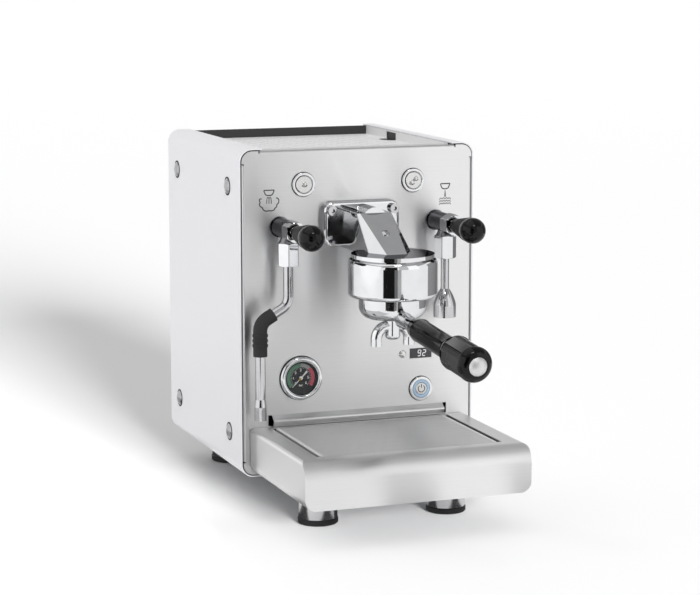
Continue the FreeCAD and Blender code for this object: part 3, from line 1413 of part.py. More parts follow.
def shower_screen():
    """Shallow cup of thin steel under the group, held by a screw in its middle."""
    base = Vector(0, GROUP_Y, SPIGOT_Z)
    cup = rod(SCREEN_R, SCREEN_H, base, DOWN)
    hollow = rod(SCREEN_R - BASKET_WALL, SCREEN_H - BASKET_WALL, base, DOWN)
    return cup.cut(hollow).cut(rod(SIDE_SHANK_R + FIT, SCREEN_H, base, DOWN))


def shower_screw():
    seat = Vector(0, GROUP_Y, SPIGOT_Z - SCREEN_H)
    return dome_screw(SCREEN_SCREW_R, SCREEN_SCREW_H, SIDE_SHANK_R, SCREEN_H, seat, DOWN)


def group_screws():
    """Two flange bolts, the screw on the slope and the one that holds the shower screen."""
    bolts = [group_bolt(seat) for seat in pad_bolt_seats()]
    return Part.makeCompound(bolts + [group_cap_screw(), shower_screw()])


def portafilter_body():
    """Bowl with lugs, a threaded nipple below and the neck that carries the handle."""
    top = RIM_Z - BASKET_WALL
    inset = BOWL_ROUND * (1 - math.sqrt(0.5))
    axis = Vector(0, GROUP_Y, 0)
    bowl = turned([
        (0, BOWL_Z - NIPPLE_L),
        (NIPPLE_R, BOWL_Z - NIPPLE_L),
        (NIPPLE_R, BOWL_Z),
        (BOWL_R - BOWL_ROUND, BOWL_Z),
        (BOWL_R, BOWL_Z + BOWL_ROUND, BOWL_R - inset, BOWL_Z + inset),
        (BOWL_R, top),
        (0, top),
    ], axis, UP)
    inner_r = BOWL_R - BOWL_WALL
    cavity = rod(inner_r, BOWL_H, Vector(0, GROUP_Y, BOWL_Z + BOWL_FLOOR), UP)
    drain = rod(NIPPLE_R / 2, NIPPLE_L + BOWL_FLOOR, Vector(0, GROUP_Y, BOWL_Z - NIPPLE_L), UP)
    lugs = []
    for half in (0, 180):
        lug = sector(BOWL_R + LUG_REACH, LUG_H, LUG_AT + half, LUG_ANGLE, LUG_Z0)
        lugs.append(lug.cut(rod(inner_r, LUG_H, Vector(0, GROUP_Y, LUG_Z0), UP)))
    waist = (NECK_START + GRIP_START) / 2
    neck = turned([
        (0, NECK_ROOT),
        (NECK_R / 2, NECK_ROOT),
        (NECK_R, NECK_START),
        (NECK_WAIST_R, waist),
        (NECK_R, GRIP_START),
        (STUD_R, GRIP_START),
        (STUD_R, GRIP_START + GRIP_L / 2),
        (0, GRIP_START + GRIP_L / 2),
    ], HANDLE_BASE, HANDLE_DIR)
    return bowl.fuse(neck).cut([cavity, drain]).fuse(lugs).removeSplitter()


def filter_basket():
    outer = BOWL_R - BOWL_WALL - BASKET_GAP
    inner = outer - BASKET_WALL
    rim = outer + BASKET_GAP + BASKET_RIM
    return turned([
        (0, RIM_Z - BASKET_H),
        (outer, RIM_Z - BASKET_H),
        (outer, RIM_Z - BASKET_WALL),
        (rim, RIM_Z - BASKET_WALL),
        (rim, RIM_Z),
        (inner, RIM_Z),
        (inner, RIM_Z - BASKET_H + BASKET_WALL),
        (0, RIM_Z - BASKET_H + BASKET_WALL),
    ], Vector(0, GROUP_Y, 0), UP)


def twin_spout():
    """Hub on the bowl's nipple with two tubes that bend down."""
    top = BOWL_Z
    bottom = BOWL_Z - HUB_L
    inset = HUB_ROUND * (1 - math.sqrt(0.5))
    hub = turned([
        (0, bottom),
        (HUB_OUT_R - HUB_ROUND, bottom),
        (HUB_OUT_R, bottom + HUB_ROUND, HUB_OUT_R - inset, bottom + inset),
        (HUB_OUT_R, top),
        (0, top),
    ], Vector(0, GROUP_Y, 0), UP)
    axis_z = BOWL_Z - SPOUT_DROP
    tubes = []
    bores = [rod(NIPPLE_R + FIT, NIPPLE_L + FIT, Vector(0, GROUP_Y, top), DOWN)]
    for side in (-1, 1):
        route = [
            Vector(0, GROUP_Y, axis_z),
            Vector(side * SPOUT_SPREAD, GROUP_Y, axis_z),
            Vector(side * SPOUT_SPREAD, GROUP_Y, BOWL_Z - SPOUT_TIP_DROP),
        ]
        tubes.append(bent_rod(route, SPOUT_TUBE_R, SPOUT_TUBE_BEND))
        bores.append(bent_rod(route, SPOUT_TUBE_BORE, SPOUT_TUBE_BEND))
    return hub.fuse(tubes).cut(bores).removeSplitter()


def handle_flats(radius, start, end):
    """What the flats take off a round stretch of the handle, made along +Z."""
    ring = rod(2 * radius, end - start, UP * start, UP)
    return ring.cut(hex_rod(2 * radius * FLAT_SHARE, end - start, UP * start, UP))


def handle_ribs(radius, start, end):
    """Round-bottomed grooves along the corners between the flats, made along +Z."""
    ribs = []
    for corner in range(FLAT_COUNT):
        middle = 360 / FLAT_COUNT * (corner + 0.5)
        for index in range(RIB_COUNT):
            angle = math.radians(middle + (index - (RIB_COUNT - 1) / 2) * RIB_TURN)
            base = Vector(radius * math.cos(angle), radius * math.sin(angle), start)
            ribs.append(rod(RIB_R, end - start, base, UP))
    return ribs


def handle_grip():
    """Black handle: slim front part, then a thicker end, in one moulding with a waist between."""
    slim = GRIP_HANDLE_R
    waist0 = GRIP_START + GRIP_L
    waist1 = waist0 + FERRULE_L
    end = waist1 + POMMEL_L
    inset = POMMEL_ROUND * (1 - math.sqrt(0.5))
    taper = POMMEL_R - GRIP_HANDLE_R
    core = FERRULE_R - BEZEL_EDGE
    bore = STUD_R + FIT
    depth = GRIP_START + GRIP_L / 2 + FIT
    thick = waist1 + 2 * taper
    shoulder = end - POMMEL_ROUND
    grip = turned([
        (bore, GRIP_START),
        (slim - 2 * BEZEL_EDGE, GRIP_START),
        (slim, GRIP_START + 2 * taper),
        (slim, waist0),
        (core, waist0),
        (core, waist1),
        (slim, waist1),
        (POMMEL_R, thick),
        (POMMEL_R, shoulder),
        (POMMEL_R - POMMEL_ROUND, end, POMMEL_R - inset, end - inset),
        (0, end),
        (0, depth),
        (bore, depth),
    ], ORIGIN, UP)
    flats = [handle_flats(slim, GRIP_START + 2 * taper, waist0), handle_flats(POMMEL_R, thick, shoulder)]
    ribs = handle_ribs(POMMEL_R, thick, shoulder)
    return placed(grip.cut(flats + ribs), HANDLE_BASE, HANDLE_DIR)


def handle_ring():
    """Bright ring in the handle's waist."""
    start = GRIP_START + GRIP_L
    core = FERRULE_R - BEZEL_EDGE + FIT
    return turned([
        (core, start),
        (FERRULE_R, start),
        (FERRULE_R, start + FERRULE_L),
        (core, start + FERRULE_L),
    ], HANDLE_BASE, HANDLE_DIR)


def handle_end_cap():
    seat = HANDLE_BASE + HANDLE_DIR * (GRIP_START + GRIP_L + FERRULE_L + POMMEL_L)
    return turned([(0, 0), (END_CAP_R, 0), dome_end(END_CAP_R, END_CAP_H)], seat, HANDLE_DIR)


def handle_fittings():
    return Part.makeCompound([handle_ring(), handle_end_cap()])


def boiler_shell():
    """Copper cylinder along X, open at the right, where the cap closes it."""
    length = 2 * BOILER_HALF_L
    base = Vector(-BOILER_HALF_L, BOILER_Y, BOILER_Z)
    hollow = rod(BOILER_R - BOILER_WALL, length - BOILER_WALL, base + RIGHT * BOILER_WALL, RIGHT)
    return rod(BOILER_R, length, base, RIGHT).cut(hollow)


def boiler_cap():
    """Plate that closes the boiler, with the heating element brazed into it."""
    plate = rod(BOILER_R, BOILER_CAP_T, Vector(BOILER_HALF_L, BOILER_Y, BOILER_Z), RIGHT)
    return plate.fuse(heating_element()).removeSplitter()


def heating_element():
    """Hairpin of tube along the boiler."""
    half = ELEMENT_SPREAD / 2
    bend = half
    far = -BOILER_HALF_L + ELEMENT_SHORT
    corner = bend - FIT
    route = [
        Vector(BOILER_HALF_L, BOILER_Y, BOILER_Z - half),
        Vector(far, BOILER_Y, BOILER_Z - half),
        Vector(far, BOILER_Y, BOILER_Z + half),
        Vector(BOILER_HALF_L, BOILER_Y, BOILER_Z + half),
    ]
    return bent_rod(route, ELEMENT_R, corner)


def boiler_stand():
    """Two plates from the base to the boiler's belly."""
    depth = BOILER_R * STAND_SHARE
    y0 = BOILER_Y - depth / 2
    top = BOILER_Z - STAND_WRAP
    boiler = rod(BOILER_R + FIT, BODY_W, Vector(-HALF_W, BOILER_Y, BOILER_Z), RIGHT)
    plate = block(STAND_X, STAND_X + STAND_T, y0, y0 + depth, FLOOR_Z, top).cut(boiler)
    return both_sides(plate)


def steam_pipe():
    """From the steam tap's tail back and into the boiler's left end."""
    z = TAP_Z
    end = Vector(-BOILER_HALF_L, BOILER_Y, z)
    route = [Vector(-TAP_X, TAIL_L, z), Vector(-TAP_X, BOILER_Y, z), end]
    return bent_tube(route, PIPE_R, PIPE_WALL, PIPE_BEND)


def hot_water_pipe():
    """From the water tap's tail back, down and into the boiler's cap."""
    low = BOILER_Z - BOILER_R * PORT_SHARE
    route = [
        Vector(TAP_X, TAIL_L, TAP_Z),
        Vector(TAP_X, BOILER_Y, TAP_Z),
        Vector(TAP_X, BOILER_Y, low),
        Vector(BOILER_HALF_L + BOILER_CAP_T, BOILER_Y, low),
    ]
    return bent_tube(route, PIPE_R, PIPE_WALL, PIPE_BEND)


def solenoid_valve():
    """Valve block bolted to the group's tail behind the panel, with its coil below."""
    z0 = BOILER_Z - VALVE_LOW
    z1 = INLET_SPIGOT_Z + VALVE_HIGH
    body = block(-VALVE_W / 2, VALVE_W / 2, SHEET, SHEET + VALVE_D, z0, z1)
    coil = rod(COIL_R, COIL_H, Vector(0, SHEET + VALVE_D / 2, z0), DOWN)
    return body.fuse(coil)


def group_pipe():
    """Straight pipe from the boiler's front to the solenoid valve."""
    y0 = SHEET + VALVE_D
    base = Vector(0, y0, BOILER_Z)
    pipe = rod(PIPE_R, BOILER_Y - y0, base, BACK).cut(rod(PIPE_R - PIPE_WALL, BOILER_Y - y0, base, BACK))
    return pipe.cut(rod(BOILER_R, BODY_W, Vector(-HALF_W, BOILER_Y, BOILER_Z), RIGHT))


def boiler_pipes():
    return Part.makeCompound([steam_pipe(), hot_water_pipe(), group_pipe(), pump_pipe()])


def pump_body():
    """Vibration pump: coil block with an outlet neck on top and an inlet tail at the back."""
    coil = block(PUMP_X - PUMP_W / 2, PUMP_X + PUMP_W / 2, PUMP_Y0, PUMP_Y0 + PUMP_D, PUMP_Z0, PUMP_Z0 + PUMP_H)
    neck = rod(PUMP_NECK_R, PUMP_NECK_H, Vector(PUMP_X, BOILER_Y, PUMP_Z0 + PUMP_H), UP)
    tail = rod(PUMP_TAIL_R, PUMP_TAIL_L, Vector(PUMP_X, PUMP_Y0 + PUMP_D, PUMP_AXIS_Z), BACK)
    return coil.fuse([neck, tail])


def pump_cradle():
    half = PUMP_W / 2 + CRADLE_OVER
    return block(PUMP_X - half, PUMP_X + half, PUMP_Y0, PUMP_Y0 + PUMP_D, FLOOR_Z, PUMP_Z0)


def pump_pipe():
    """Riser from the pump's neck to the boiler's belly."""
    z0 = PUMP_Z0 + PUMP_H + PUMP_NECK_H
    base = Vector(PUMP_X, BOILER_Y, z0)
    pipe = rod(PIPE_R, BOILER_Z - z0, base, UP).cut(rod(PIPE_R - PIPE_WALL, BOILER_Z - z0, base, UP))
    return pipe.cut(rod(BOILER_R, BODY_W, Vector(-HALF_W, BOILER_Y, BOILER_Z), RIGHT))


def control_box():
    box = block(CONTROL_X0, CONTROL_X0 + CONTROL_W, CONTROL_Y0, CONTROL_Y0 + CONTROL_D,
                FLOOR_Z, FLOOR_Z + CONTROL_H)
    upright = [edge for edge in box.Edges if edge.BoundBox.ZLength > CONTROL_H / 2]
    return box.makeFillet(CONTROL_ROUND, upright)


def tank_form(inset, z0, z1):
    form = block(-TANK_HALF_W + inset, TANK_HALF_W - inset, TANK_Y0 + inset, TANK_Y1 - inset, z0, z1)
    upright = [edge for edge in form.Edges if edge.BoundBox.ZLength > (z1 - z0) / 2]
    return form.makeFillet(TANK_ROUND - inset, upright)


def water_tank():
    """Open tank with an outlet nipple below."""
    outer = tank_form(0, TANK_Z, TANK_Z + TANK_H)
    inner = tank_form(TANK_WALL, TANK_Z + TANK_WALL, TANK_Z + TANK_H)
    seat = Vector(PUMP_X, OUTLET_Y, TANK_Z)
    nipple = rod(OUTLET_R, OUTLET_L, seat, DOWN)
    bore = rod(OUTLET_R - TANK_WALL, OUTLET_L + TANK_WALL, seat + UP * TANK_WALL, DOWN)
    return outer.cut(inner).fuse(nipple).cut(bore)


def tank_shelf():
    """Moulded shelf that carries the tank, with a cup for the tank's nipple and a tail for the hose."""
    z1 = TANK_Z - GAP
    top = block(-TANK_HALF_W, TANK_HALF_W, TANK_Y0, TANK_Y1, z1 - TANK_SHELF_T, z1)
    leg = block(TANK_HALF_W - TANK_SHELF_T, TANK_HALF_W, TANK_Y0, TANK_Y1, FLOOR_Z, z1)
    base = Vector(PUMP_X, OUTLET_Y, FLOOR_Z)
    height = z1 - FLOOR_Z
    cup = rod(SOCKET_R, height, base, UP)
    tail = rod(HOSE_R, SOCKET_R + SOCKET_TAIL_L, base + UP * (SOCKET_TAIL_UP - BASE_T), FORWARD)
    well = rod(OUTLET_R + GAP, OUTLET_L + GAP, base + UP * height, DOWN)
    return top.fuse([leg, leg.mirror(ORIGIN, RIGHT), cup, tail]).cut(well).removeSplitter()


def suction_hose():
    """Hose from the tank's socket up to the pump's tail."""
    low = FOOT_H + SOCKET_TAIL_UP
    route = [
        Vector(PUMP_X, OUTLET_Y - SOCKET_R - SOCKET_TAIL_L, low),
        Vector(PUMP_X, HOSE_DIP_Y, low),
        Vector(PUMP_X, HOSE_DIP_Y, PUMP_AXIS_Z),
        Vector(PUMP_X, PUMP_Y0 + PUMP_D + PUMP_TAIL_L, PUMP_AXIS_Z),
    ]
    return bent_tube(route, HOSE_R, HOSE_WALL, HOSE_BEND)


PIECES = [
    side_panel_left, side_panel_right, casing_screws, front_panel, rear_panel, rear_rail, power_inlet,
    base_frame, top_frame, cup_tray, foot_bodies, foot_pads, tray_housing, drip_basin, drip_grid,
    brew_bezels, brew_button_left, brew_button_right, power_bezel, power_light_ring, power_button,
    panel_nuts, status_lamp, display_window, gauge_case, gauge_dial, gauge_glass, gauge_needle,
    tap_bodies, gland_nuts, union_nuts, steam_lever, steam_knob, steam_wand, steam_wand_grip, steam_wand_tip,
    water_lever, water_knob, water_spout,
    group_casting, group_screws, group_bell, group_gasket, shower_screen,
    portafilter_body, filter_basket, twin_spout, handle_grip, handle_fittings,
    boiler_shell, boiler_cap, boiler_stand, boiler_pipes, solenoid_valve,
    pump_body, pump_cradle, control_box, water_tank, tank_shelf, suction_hose,
]


def main():
    os.makedirs("parts", exist_ok=True)
    shapes = {piece.__name__: piece() for piece in PIECES}
    boxes = [shape.optimalBoundingBox() for shape in shapes.values()]
    front = min(box.YMin for box in boxes)
    back = max(box.YMax for box in boxes)
    shift = Vector(0, -(front + back) / 2, 0)
    for name, shape in shapes.items():
        shape.translate(shift)
        shape.exportStep("parts/" + name + ".step")
        print(name, len(shape.Solids), "solids", "valid" if shape.isValid() else "NOT VALID", round(shape.Volume))
    print("front panel's face at y =", round(shift.y, 4))
    print("front to back", round(back - front, 2))


main()
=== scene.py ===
# %% [markdown]
# # An espresso machine, dressed around its CAD frame
#
# The CAD pieces come in first and stay where they are. Each of them gets a finish that follows the
# real material, and the small things that a maker prints, presses or moulds on them are modelled here.

# %% Load the CAD frame
import math

import bmesh
import bpy
from mathutils import Matrix, Vector


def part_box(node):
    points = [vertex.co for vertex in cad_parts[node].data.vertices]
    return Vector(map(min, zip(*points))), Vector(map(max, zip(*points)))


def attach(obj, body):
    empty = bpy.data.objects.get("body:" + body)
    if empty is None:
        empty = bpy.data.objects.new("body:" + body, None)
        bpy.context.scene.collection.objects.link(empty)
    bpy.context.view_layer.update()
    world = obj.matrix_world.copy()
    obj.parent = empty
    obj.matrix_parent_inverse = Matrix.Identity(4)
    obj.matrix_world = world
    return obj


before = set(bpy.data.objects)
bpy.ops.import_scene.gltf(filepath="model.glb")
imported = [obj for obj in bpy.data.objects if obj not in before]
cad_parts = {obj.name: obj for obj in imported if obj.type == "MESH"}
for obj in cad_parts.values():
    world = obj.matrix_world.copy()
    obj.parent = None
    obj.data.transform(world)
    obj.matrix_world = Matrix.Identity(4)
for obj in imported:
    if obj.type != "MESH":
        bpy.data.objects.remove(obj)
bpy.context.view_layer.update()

MM = 0.001
panel_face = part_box("display_window")[0][1]
print("front panel's face at y =", round(panel_face, 5))

# %% [markdown]
# ## Camera
#
# The viewpoint was solved from the casing's straight edges: about 2.3 m away, 20 degrees round to the
# left and 9 degrees above the horizon, with a long lens. A camera could be set by eye, but it would drift
# as the work goes on, so these solved numbers are kept as they are.

# %% Camera
LENS_MM = 114.83
SENSOR_MM = 36.0
CAMERA_AT = Vector((-0.7847, panel_face - 2.0829, 0.5626))
CAMERA_YAW = 20.423
CAMERA_PITCH = 9.006

camera = bpy.data.objects.new("camera", bpy.data.cameras.new("camera"))
camera.data.lens = LENS_MM
camera.data.sensor_width = SENSOR_MM
camera.data.sensor_fit = "HORIZONTAL"
camera.location = CAMERA_AT
camera.rotation_euler = (math.radians(90 - CAMERA_PITCH), 0, math.radians(-CAMERA_YAW))
bpy.context.scene.collection.objects.link(camera)
bpy.context.scene.camera = camera
bpy.context.scene.view_settings.view_transform = "Standard"
print("camera at", [round(v, 4) for v in camera.location])

# %% [markdown]
# ## Tools for finishes
#
# A finish could be a photographed texture. Here it is a Principled shader whose colour, roughness and bump
# come from one noise pattern, so it has no seams and needs no picture. The pattern's size is given in
# millimetres, so that a grain has a real size. Colours are written as sRGB hex values, as a colour
# picker shows them, and turned to linear light by one function.

# %% Colour and node helpers
NOISE_SPAN = (0.3, 0.7)            # nearly all values of the noise lie between these


def linear(hex_colour):
    """The usual curve from sRGB to linear light, with full alpha."""
    channels = [int(hex_colour[i:i + 2], 16) / 255 for i in (1, 3, 5)]
    return tuple(c / 12.92 if c <= 0.04045 else ((c + 0.055) / 1.055) ** 2.4 for c in channels) + (1.0,)


def add(tree, kind, inputs=None, **settings):
    """One node with its settings, and each of its inputs given a value or a link."""
    node = tree.nodes.new(kind)
    for name, value in settings.items():
        setattr(node, name, value)
    for name, value in (inputs or {}).items():
        if isinstance(value, bpy.types.NodeSocket):
            tree.links.new(value, node.inputs[name])
        else:
            node.inputs[name].default_value = value
    return node


def finish(name, tones, grain_mm, rough, bump_mm=0.0, detail=3.0, **sockets):
    """A material named for what it is: two close tones, a grain, a range of roughness and a bump.

    The grain is one size in mm, or three of them for a grain that is longer one way."""
    material = bpy.data.materials.new(name)
    material.use_nodes = True
    tree = material.node_tree
    shader = tree.nodes["Principled BSDF"]
    for socket, value in sockets.items():
        shader.inputs[socket.replace("_", " ")].default_value = value
    coords = add(tree, "ShaderNodeTexCoord")
    sizes = grain_mm if isinstance(grain_mm, tuple) else (grain_mm,) * 3
    per_metre = [1 / (size * MM) for size in sizes]
    spread = add(tree, "ShaderNodeMapping", {"Vector": coords.outputs["Object"], "Scale": per_metre})
    grain = add(tree, "ShaderNodeTexNoise",
                {"Vector": spread.outputs["Vector"], "Scale": 1.0, "Detail": detail})
    level = add(tree, "ShaderNodeMapRange",
                {"Value": grain.outputs["Fac"], "From Min": NOISE_SPAN[0], "From Max": NOISE_SPAN[1]})
    tone = add(tree, "ShaderNodeValToRGB", {"Fac": level.outputs["Result"]})
    tone.color_ramp.elements[0].color = linear(tones[0])
    tone.color_ramp.elements[1].color = linear(tones[1])
    tree.links.new(tone.outputs["Color"], shader.inputs["Base Color"])
    gloss = add(tree, "ShaderNodeMapRange",
                {"Value": level.outputs["Result"], "To Min": rough[0], "To Max": rough[1]})
    tree.links.new(gloss.outputs["Result"], shader.inputs["Roughness"])
    if bump_mm:
        relief = add(tree, "ShaderNodeBump",
                     {"Strength": 1.0, "Distance": bump_mm * MM, "Height": level.outputs["Result"]})
        tree.links.new(relief.outputs["Normal"], shader.inputs["Normal"])
    return material


def dress(material, *nodes):
    """Give CAD nodes a finish through their own material slots."""
    for name in nodes:
        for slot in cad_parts[name].material_slots:
            slot.material = material
    print(material.name, "on", ", ".join(nodes))


# %% [markdown]
# ## Steel
#
# The front, the drip tray and the cup tray are stainless sheet, brushed from side to side. The scratches
# could be drawn one by one, but what the eye sees is their sum: they spread a reflection up and down, so
# the panel shows soft vertical streaks. That is anisotropy: the highlight is stretched across the grain,
# with a tangent that runs round the X axis. The real scratches are finer than a pixel, so they are drawn
# a few times coarser here.

# %% Brushed stainless
BRUSH_GRAIN = (60.0, 0.35, 0.35)   # a scratch as drawn, long in X, mm
BRUSH_RELIEF = 0.0006              # its depth, mm
SIDE_FACE = 0.7                    # a normal with more X than this belongs to a side face


def brushed(name, tones, rough, stretch=0.97, metallic=1.0):
    """Sheet that is brushed along X.

    On its side faces a tangent about X would turn round within the face and leave a patch in it, so
    those faces take a tangent about Y."""
    steel = finish(name, tones, BRUSH_GRAIN, rough, bump_mm=BRUSH_RELIEF, detail=2.0,
                   Metallic=metallic, Anisotropic=stretch)
    tree = steel.node_tree
    round_x = add(tree, "ShaderNodeTangent", direction_type="RADIAL", axis="X")
    round_y = add(tree, "ShaderNodeTangent", direction_type="RADIAL", axis="Y")
    surface = add(tree, "ShaderNodeNewGeometry")
    facing = add(tree, "ShaderNodeSeparateXYZ", {"Vector": surface.outputs["Normal"]})
    sideways = add(tree, "ShaderNodeMath", {0: facing.outputs["X"]}, operation="ABSOLUTE")
    is_side = add(tree, "ShaderNodeMath", {0: sideways.outputs["Value"], 1: SIDE_FACE},
                  operation="GREATER_THAN")
    # A vector Mix node takes its factor at 0 and its vectors at 4 and 5, and gives the result at 1.
    tangent = add(tree, "ShaderNodeMix", {0: is_side.outputs["Value"], 4: round_x.outputs["Tangent"],
                                          5: round_y.outputs["Tangent"]}, data_type="VECTOR")
    tree.links.new(tangent.outputs[1], tree.nodes["Principled BSDF"].inputs["Tangent"])
    return steel


# Soft vertical streaks under a fine grain from side to side.
panel_steel = brushed("stainless_brushed_sheet", ("#E4E4E4", "#E9E9E9"), rough=(0.29, 0.32))
dress(panel_steel, "front_panel", "rear_panel")
# Paler and a little softer, so the round edges of the tray shade gently.
tray_steel = brushed("stainless_brushed_tray", ("#ECECEC", "#F1F1F1"), rough=(0.31, 0.36))
dress(tray_steel, "tray_housing")
# Slats with a dull metal shine.
grid_steel = brushed("stainless_brushed_slats", ("#E0E0E0", "#E8E8E8"), rough=(0.36, 0.42),
                     stretch=0.4, metallic=0.7)
dress(grid_steel, "drip_grid")
# Satin sheet that scatters most of its light, so it looks almost white. It also makes the painted highlights
# on the slat ends.
bright_sheet_and_highlight = brushed("stainless_satin_sheet_and_highlight", ("#EDEDED", "#F4F4F4"), rough=(0.42, 0.5),
                       stretch=0.3, metallic=0.12)
dress(bright_sheet_and_highlight, "cup_tray")

# %% [markdown]
# Chrome plate on brass or zinc is almost a mirror, and a perfect mirror would be the simplest way. What
# keeps it from looking computed is a faint haze from handling, so its roughness wanders a little over
# patches about a centimetre across. The other bright metals are darker or softer kinds of it; the two
# darkest, on the valve bodies and the casing screws, carry painted shade.

# %% Chrome and polished stainless
DARK_EDGE = (0.42, 0.42, 0.43, 1.0)     # a metal loses light near its outline, which draws a dark edge

# A mirror with a faint haze, which shows the studio in hard whites and blacks.
chrome = finish("chrome_plate_polished", ("#E2E3E5", "#E8E9EA"), grain_mm=14, rough=(0.03, 0.075),
                Metallic=1.0, Specular_Tint=DARK_EDGE)
dress(chrome, "brew_bezels", "power_bezel", "gauge_case", "gland_nuts", "union_nuts", "steam_lever",
      "water_lever", "group_casting", "group_bell", "portafilter_body", "twin_spout")
# Buffed steel: darker than chrome, with softer edges in its reflections.
polished = finish("stainless_polished", ("#C6C6C8", "#CECED0"), grain_mm=9, rough=(0.07, 0.14),
                  Metallic=1.0, Specular_Tint=DARK_EDGE)
dress(polished, "steam_wand", "steam_wand_tip", "water_spout", "group_screws", "shower_screen",
      "filter_basket")
# A mirror far darker than plate: painted shade for the dark reflections on the valve bodies, so they stand
# back behind their chrome nuts.
shaded_plate = finish("brass_plated_painted_shade", ("#7C7C7F", "#868689"), grain_mm=9, rough=(0.08, 0.14),
                Metallic=1.0, Specular_Tint=DARK_EDGE)
dress(shaded_plate, "tap_bodies")

# %% Satin metals
# A soft shine that leaves the relief on the caps readable.
satin_caps = finish("stainless_satin_button", ("#D8D8D7", "#E2E2E1"), grain_mm=(0.5, 0.5, 6.0),
                    rough=(0.22, 0.30), Metallic=1.0)
dress(satin_caps, "brew_button_left", "brew_button_right", "power_button", "status_lamp")
# A pale metal with no clear reflection.
satin_cast = finish("aluminium_satin", ("#D6D6D6", "#E2E2E2"), grain_mm=0.8, rough=(0.42, 0.52),
                    Metallic=0.85)
dress(satin_cast, "handle_fittings")
# Fine rings round a foot, which soften what it reflects.
turned_feet = finish("stainless_turned", ("#C8C8CA", "#D2D2D4"), grain_mm=(40, 40, 0.3), rough=(0.16, 0.24),
                     Metallic=1.0)
dress(turned_feet, "foot_bodies")
# Grey screw heads with a soft highlight. Their grey, darker than polished steel, is painted shade for the
# dark reflections in their domes.
shaded_screw_steel = finish("stainless_polished_dulled_painted_shade", ("#A9A9AB", "#B4B4B6"), grain_mm=4, rough=(0.16, 0.24),
                    Metallic=1.0)
dress(shaded_screw_steel, "casing_screws")

# %% [markdown]
# ## Paint, plastic and rubber
#
# The side panels are powder coated: a satin white with the slight orange peel of melted powder, about
# a millimetre from crest to crest. The knobs and the handle are glossy moulded phenolic, which is deep
# black with a hard shine. The wand's sleeve and the feet are rubber, which scatters light widely. One
# white and one black would be quicker, but grain and shine are what tells such materials apart.

# %% Paint
# Satin white with a faint orange peel.
white_paint = finish("steel_powder_coated_white", ("#ECECEF", "#F0F0F3"), grain_mm=1.2, rough=(0.34, 0.42),
                     bump_mm=0.006, IOR=1.5)
dress(white_paint, "side_panel_left", "side_panel_right")
# A dull dark grey that is painted shade: it stands for the shade in the recesses where the rail, the frame
# and the basin sit.
recess_shade_paint = finish("steel_dark_grey_painted_shade", ("#2B2B2D", "#323234"), grain_mm=1.2, rough=(0.42, 0.52),
                    bump_mm=0.006)
dress(recess_shade_paint, "rear_rail", "top_frame", "drip_basin")

# %% Plastic and rubber
# Deep black with small hard highlights.
phenolic = finish("phenolic_moulded_black", ("#050506", "#080809"), grain_mm=7, rough=(0.05, 0.09), IOR=1.45,
                  Specular_IOR_Level=0.32)
dress(phenolic, "steam_knob", "water_knob", "handle_grip")
# Dark grey with hardly a highlight.
rubber = finish("rubber_moulded_black", ("#1D1D1E", "#272728"), grain_mm=0.8, rough=(0.62, 0.78),
                bump_mm=0.02)
dress(rubber, "steam_wand_grip", "foot_pads", "group_gasket", "pump_cradle")
# Black with a soft sheen. It also makes the rings of painted shade under the casing screws.
nylon_and_shade = finish("nylon_moulded_black_and_shade", ("#151516", "#1C1C1D"), grain_mm=0.9, rough=(0.45, 0.58), bump_mm=0.012)
dress(nylon_and_shade, "power_inlet", "tank_shelf")
# Plain grey with a soft sheen.
grey_plastic = finish("abs_moulded_grey", ("#55575A", "#5D5F62"), grain_mm=0.9, rough=(0.45, 0.58),
                      bump_mm=0.012)
dress(grey_plastic, "pump_body", "control_box")
# Milky and half clear, so the tank's far wall shows through.
frosted = finish("polypropylene_frosted", ("#D9E0E3", "#E4EAEC"), grain_mm=3, rough=(0.35, 0.5), Alpha=0.55)
dress(frosted, "water_tank")
# Pale, with a soft sheen.
silicone = finish("silicone_hose", ("#D2D1CB", "#DCDBD6"), grain_mm=2, rough=(0.4, 0.55))
dress(silicone, "suction_hose")

# %% [markdown]
# Inside the casing are the metals of a boiler shop: zinc plated sheet, copper and brass. They are seen only
# with the cup tray off, so plain metals with a wandering shine are enough.

# %% Metals inside the casing
# Cool grey with a broad, uneven shine.
zinc = finish("steel_zinc_plated", ("#A9ACB0", "#B9BCC0"), grain_mm=6, rough=(0.32, 0.48), Metallic=1.0)
dress(zinc, "base_frame", "boiler_stand")
# Warm red metal, a little dulled by heat.
copper = finish("copper_bright", ("#B87356", "#C98566"), grain_mm=8, rough=(0.18, 0.34), Metallic=1.0)
dress(copper, "boiler_shell", "boiler_pipes")
# Yellow metal with a clean shine.
brass = finish("brass_machined", ("#C6A052", "#D2AF62"), grain_mm=6, rough=(0.16, 0.3), Metallic=1.0)
dress(brass, "boiler_cap", "solenoid_valve", "panel_nuts")

# %% [markdown]
# ## Glass, lamps and prints
#
# The gauge has a flat clear glass, the display a smoked window, and the power button a ring of
# diffusing plastic with a cool lamp behind it. The glass could bend light as a solid does, but it is flat
# and thin, so a nearly clear surface with a reflection looks the same. Enamel prints are slightly dull.

# %% Glass and lamps
# Almost nothing but a thin reflection.
clear_glass = finish("glass_clear_flat", ("#39403F", "#424948"), grain_mm=20, rough=(0.01, 0.03), Alpha=0.08,
                     IOR=1.5)
dress(clear_glass, "gauge_glass")
# A dark window with a soft shine.
smoked = finish("acrylic_smoked_window", ("#3E3E41", "#454548"), grain_mm=12, rough=(0.10, 0.16), IOR=1.49)
dress(smoked, "display_window")
# A pale blue glow.
lit_ring = finish("acrylic_lit_blue", ("#A5BDD2", "#B0C6DA"), grain_mm=4, rough=(0.3, 0.4),
                  Emission_Color=linear("#BFDCFA"), Emission_Strength=0.14)
dress(lit_ring, "power_light_ring")
# White strokes with a weak glow of their own.
lit_digits = finish("display_lit_white", ("#D8D9DB", "#E0E1E3"), grain_mm=3, rough=(0.4, 0.5),
                    Emission_Color=linear("#FFFFFF"), Emission_Strength=0.25)

